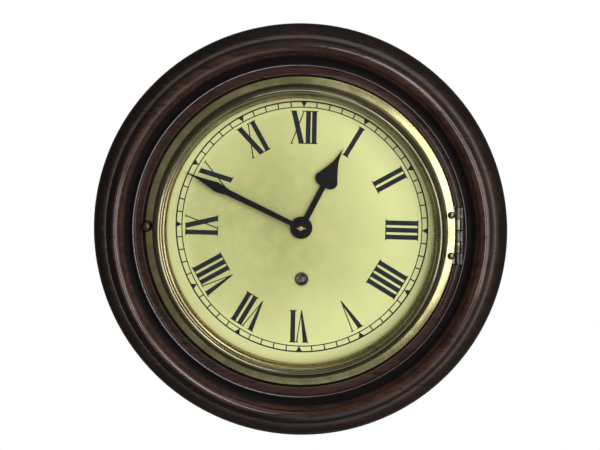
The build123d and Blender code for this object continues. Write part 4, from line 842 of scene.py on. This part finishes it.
def make_knob():
    """Turned pull knob with a neck, a collar and a domed head."""
    low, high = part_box("bezel_knob")
    centre = (low + high) / 2 / MM
    turning = Turning(0, BEZEL_BACK, centre.x + BEZEL_X - CASE_X, centre.z)
    turning.line((0.95, BEZEL_BACK), (0.95, FLANGE_FRONT), (2.6, FLANGE_FRONT))
    turning.arc((2.75, 83.3), (2.5, 83.6), 4)
    turning.arc((1.75, 84.3), (2.3, 85.3), 6)
    turning.line((3.3, 85.4)).arc((3.9, 85.9), (3.95, 86.7), 6)
    turning.arc((2.9, 88.75), (0, 89.6), 14)
    finish_piece(
        "pull_knob", turning.spun(64, False), "bezel", KNOB_METAL, ("bezel_knob",)
    )


def slotted_head(name, x, z, depth, radius, height, body, finish, angle=0.0, stands_for=()):
    """Domed screw head that looks forward, with a slot cut across it."""
    turning = Turning(0, depth, x, z)
    turning.line((radius, depth), (radius, depth + height * 0.35))
    turning.arc((radius * 0.62, depth + height * 0.86), (0, depth + height), 8)
    piece = finish_piece(name, turning.spun(40, False), body, finish, stands_for)
    slit = block(
        Vector((-radius * 1.2, -height, -radius * 0.16)) * MM,
        Vector((radius * 1.2, -height * 0.45, radius * 0.16)) * MM,
    )
    bmesh.ops.rotate(slit, cent=(0, 0, 0), matrix=Matrix.Rotation(angle, 3, "Y"), verts=slit.verts)
    bmesh.ops.translate(slit, vec=place(x, depth + 0.1, z), verts=slit.verts)
    cut_away(piece, slit)
    return piece


SCREW_X = HINGE_X - 4.9
SCREW_RISE = 15.0
SCREW_RADIUS = 2.2
SCREW_HEIGHT = 0.9


def make_hinge():
    """Bezel hinge: eased leaves, pin and two screws through the flange."""
    eased("bezel_hinge_fixed_leaf", "case", LEAF_METAL, 0.2)
    eased("bezel_hinge_moving_leaf", "bezel", HINGE_METAL, 0.2)
    eased("bezel_hinge_pin", "case", STEEL, 0.1)
    for number, rise in enumerate((-SCREW_RISE, SCREW_RISE)):
        stands_for = ("bezel_hinge_rivets",) if number == 0 else ()
        slotted_head(
            f"hinge_screw_{number + 1}", SCREW_X, HINGE_Z + rise, FLANGE_FRONT, SCREW_RADIUS,
            SCREW_HEIGHT, "bezel", RIVET_METAL, 0.6 + number, stands_for,
        )
        # Thin black ring round each screw head: painted shade where the head meets the flange.
        collar = Turning(2.15, 82.99, SCREW_X, HINGE_Z + rise)
        collar.line((2.75, 82.99), (2.6, 83.12), (2.25, 83.12))
        finish_piece(
            f"hinge_screw_rim_{number + 1}", collar.spun(40), "bezel", HAND_BLACK
        )


# Hands


def make_hands():
    """Hour and minute hand with their collet and pin."""
    eased("hour_hand", "hour_wheel", HAND_BLACK, 0.22)
    eased("minute_hand", "centre_arbor", HAND_BLACK, 0.22)
    eased("hand_collet", "centre_arbor", COLLET_METAL, 0.35)
    eased("hand_pin", "centre_arbor", ARBOR_STEEL, 0.1)


# Box, doors and fittings


BOARD_EASE = 0.5
LEAF_EASE = 0.15
BUTTON_EASE = 0.35


def make_box():
    """Boards of the box with their blocks and pegs, and both doors."""
    for node in ("backboard", "case_left_side", "case_right_side"):
        eased(node, "case", UPRIGHT_WOOD, BOARD_EASE)
    for node in ("case_top", "case_bottom"):
        eased(node, "case", LEVEL_WOOD, BOARD_EASE)
    eased("surround_blocks", "case", UPRIGHT_WOOD, 0.6)
    eased("case_pegs", "case", PEG_WOOD, BOARD_EASE)
    eased("side_door", "side_door", UPRIGHT_WOOD, BOARD_EASE)
    eased("bottom_door", "bottom_door", LEVEL_WOOD, BOARD_EASE)


def make_fittings():
    """Hanging plate, door hinges, turn buttons and screws."""
    eased("hanging_plate", "case", BOX_BRASS, 0.25)
    eased("door_hinge_fixed_leaves", "case", BOX_BRASS, LEAF_EASE)
    eased("side_door_leaves", "side_door", BOX_BRASS, LEAF_EASE)
    eased("bottom_door_leaf", "bottom_door", BOX_BRASS, LEAF_EASE)
    eased("door_hinge_pins", "case", STEEL, 0.1)
    for button in ("side_turn_button", "bottom_turn_button"):
        eased(button, button, BOX_BRASS, BUTTON_EASE)
    eased("turn_button_screws", "case", BOX_BRASS, LEAF_EASE)
    eased("dial_screws", "case", BOX_BRASS, 0.2)


# Movement


def brass_part(node, body, ease=0.0, finish=WHEEL_BRASS):
    eased(node, body, finish, ease)


def steel_part(node, body, ease=0.0, finish=STEEL):
    eased(node, body, finish, ease)


def make_plates():
    brass_part("front_plate", "case", 0.25, PLATE_BRASS)
    brass_part("back_plate", "case", 0.25, PLATE_BRASS)
    brass_part("plate_pillars", "case", 0.2)
    steel_part("pillar_nuts", "case", 0.2)


def make_barrel():
    """Going barrel, with its arbor, ratchet and click."""
    brass_part("barrel", "barrel")
    brass_part("barrel_cap", "barrel", 0.1)
    steel_part("mainspring", "barrel")
    steel_part("barrel_arbor", "barrel_arbor", 0.15, WINDING_STEEL)
    steel_part("ratchet_wheel", "barrel_arbor")
    steel_part("click", "click", 0.15)
    steel_part("click_spring", "case")
    steel_part("front_plate_studs", "case", 0.1)


def make_train():
    """Going train and motion work; their toothed edges stay as cut."""
    brass_part("intermediate_wheel", "intermediate_wheel")
    steel_part("centre_arbor", "centre_arbor", 0.0, ARBOR_STEEL)
    brass_part("centre_wheel", "centre_arbor")
    steel_part("cannon_pinion", "centre_arbor")
    for wheel in ("minute_wheel", "hour_wheel", "third_wheel", "escape_wheel"):
        brass_part(wheel, wheel)


def make_escapement():
    steel_part("anchor", "pallets", 0.15)
    steel_part("pallet_arbor", "pallets", 0.1)
    brass_part("crutch", "pallets", 0.15, BOX_BRASS)
    brass_part("back_cock", "case", 0.2, PLATE_BRASS)


def make_pendulum():
    steel_part("suspension_spring", "pendulum")
    steel_part("pendulum_rod", "pendulum", 0.1)
    brass_part("pendulum_bob", "pendulum", 0.2)
    brass_part("rating_nut", "pendulum", 0.15)


# Stage, light and camera


def soft_light(name, at, towards, width, height, radiance, colour=(1, 1, 1)):
    """Rectangular soft light of an even radiance."""
    lamp = bpy.data.lights.new(name, "AREA")
    lamp.shape = "RECTANGLE"
    lamp.size = width
    lamp.size_y = height
    lamp.energy = radiance * math.pi * width * height
    lamp.color = colour
    holder = bpy.data.objects.new(name, lamp)
    bpy.context.scene.collection.objects.link(holder)
    holder.location = at
    holder.rotation_mode = "QUATERNION"
    holder.rotation_quaternion = (Vector(towards) - Vector(at)).to_track_quat("-Z", "Y")


FLOOR_RADIUS = 1.1
FLOOR_HEIGHT = -0.50
ROOM_LIGHT = 0.27


def make_floor():
    """Pale floor well below the clock."""
    shape = bmesh.new()
    bmesh.ops.create_circle(shape, cap_ends=True, segments=96, radius=FLOOR_RADIUS)
    bmesh.ops.translate(shape, vec=(0, 0, FLOOR_HEIGHT), verts=shape.verts)
    mesh = bpy.data.meshes.new("floor")
    shape.to_mesh(mesh)
    shape.free()
    paint = Finish("pale_floor")
    speck = paint.noise(0.02, None, 4)
    colour = paint.mix(speck.between(0.3, 0.7), (0.80, 0.80, 0.79), (0.84, 0.84, 0.83))
    mesh.materials.append(paint.surface(base_color=colour, roughness=0.8, specular_ior_level=0.2))
    floor = bpy.data.objects.new("floor", mesh)
    bpy.context.scene.collection.objects.link(floor)


def make_room():
    """Room that is white to the eye, and dimmer as a light."""
    world = bpy.data.worlds.new("white_room")
    bpy.context.scene.world = world
    room = NodeTree(world)
    path = room.node("LightPath")
    seen = room.node("Math", {"operation": "MAXIMUM"}, {
        0: path.outputs["Is Camera Ray"], 1: path.outputs["Is Transmission Ray"]})
    light, shown = [
        room.node("Background", {}, {"Color": (1, 1, 1), "Strength": strength})
        for strength in (ROOM_LIGHT, 1.0)
    ]
    both = room.node("MixShader", {}, {
        0: seen.outputs[0], 1: light.outputs[0], 2: shown.outputs[0]})
    room.node("OutputWorld", {}, {"Surface": both.outputs[0]})


def make_lights():
    """Soft studio lights, in metres."""
    aim = (CASE_X * MM, -0.08, CASE_Z * MM)
    soft_light("front_right", (0.250, -1.5, -0.10), aim, 0.30, 0.40, 7.5)
    soft_light("right", (0.95, -1.20, -0.05), aim, 0.40, 0.90, 4.8)
    soft_light("upper_right", (0.75, -1.25, 0.80), aim, 0.80, 0.80, 3.6)
    soft_light("upper_front", (0.35, -1.60, 0.62), aim, 0.70, 0.50, 4.6)
    soft_light("side_strip", (1.30, -0.75, -0.05), aim, 0.14, 1.20, 9.0)
    soft_light("overhead", (0.0, -0.30, 1.40), aim, 1.2, 0.8, 1.2)


VIEW_AZIMUTH = 3.5
VIEW_ELEVATION = 6.5
VIEW_DISTANCE = 1.5
IMAGE_WIDTH = 600
SENSOR = 36.0
RIM_PIXELS = 206.4
RIM_DEPTH = 75.0
OFF_RIGHT = -0.3
OFF_DOWN = 5.7


def make_camera():
    """Camera where the photograph was taken from, a little right of and above the clock."""
    azimuth = math.radians(VIEW_AZIMUTH)
    elevation = math.radians(VIEW_ELEVATION)
    back = Vector((math.sin(azimuth) * math.cos(elevation),
                   -math.cos(azimuth) * math.cos(elevation), math.sin(elevation)))
    per_pixel = RIM_RADIUS * MM / RIM_PIXELS
    right = Vector((math.cos(azimuth), math.sin(azimuth), 0))
    up = right.cross(-back)
    shift = up * OFF_DOWN - right * OFF_RIGHT
    target = place(CASE_X, RIM_DEPTH, CASE_Z) + shift * per_pixel
    data = bpy.data.cameras.new("camera")
    data.sensor_width = SENSOR
    data.lens = SENSOR * VIEW_DISTANCE / per_pixel / IMAGE_WIDTH
    camera = bpy.data.objects.new("camera", data)
    bpy.context.scene.collection.objects.link(camera)
    camera.location = target + back * VIEW_DISTANCE
    camera.rotation_mode = "QUATERNION"
    camera.rotation_quaternion = (-back).to_track_quat("-Z", "Y")
    bpy.context.scene.camera = camera


make_surround()
make_figures()
make_minute_track()
make_winding_eyelet()
make_bezel()
make_sight_ring()
make_glass()
make_knob()
make_hinge()
make_hands()
make_box()
make_fittings()
make_plates()
make_barrel()
make_train()
make_escapement()
make_pendulum()
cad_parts["dial_plate"].material_slots[0].material = DIAL
make_floor()
make_room()
make_lights()
make_camera()
bpy.context.scene.view_settings.view_transform = "Standard"
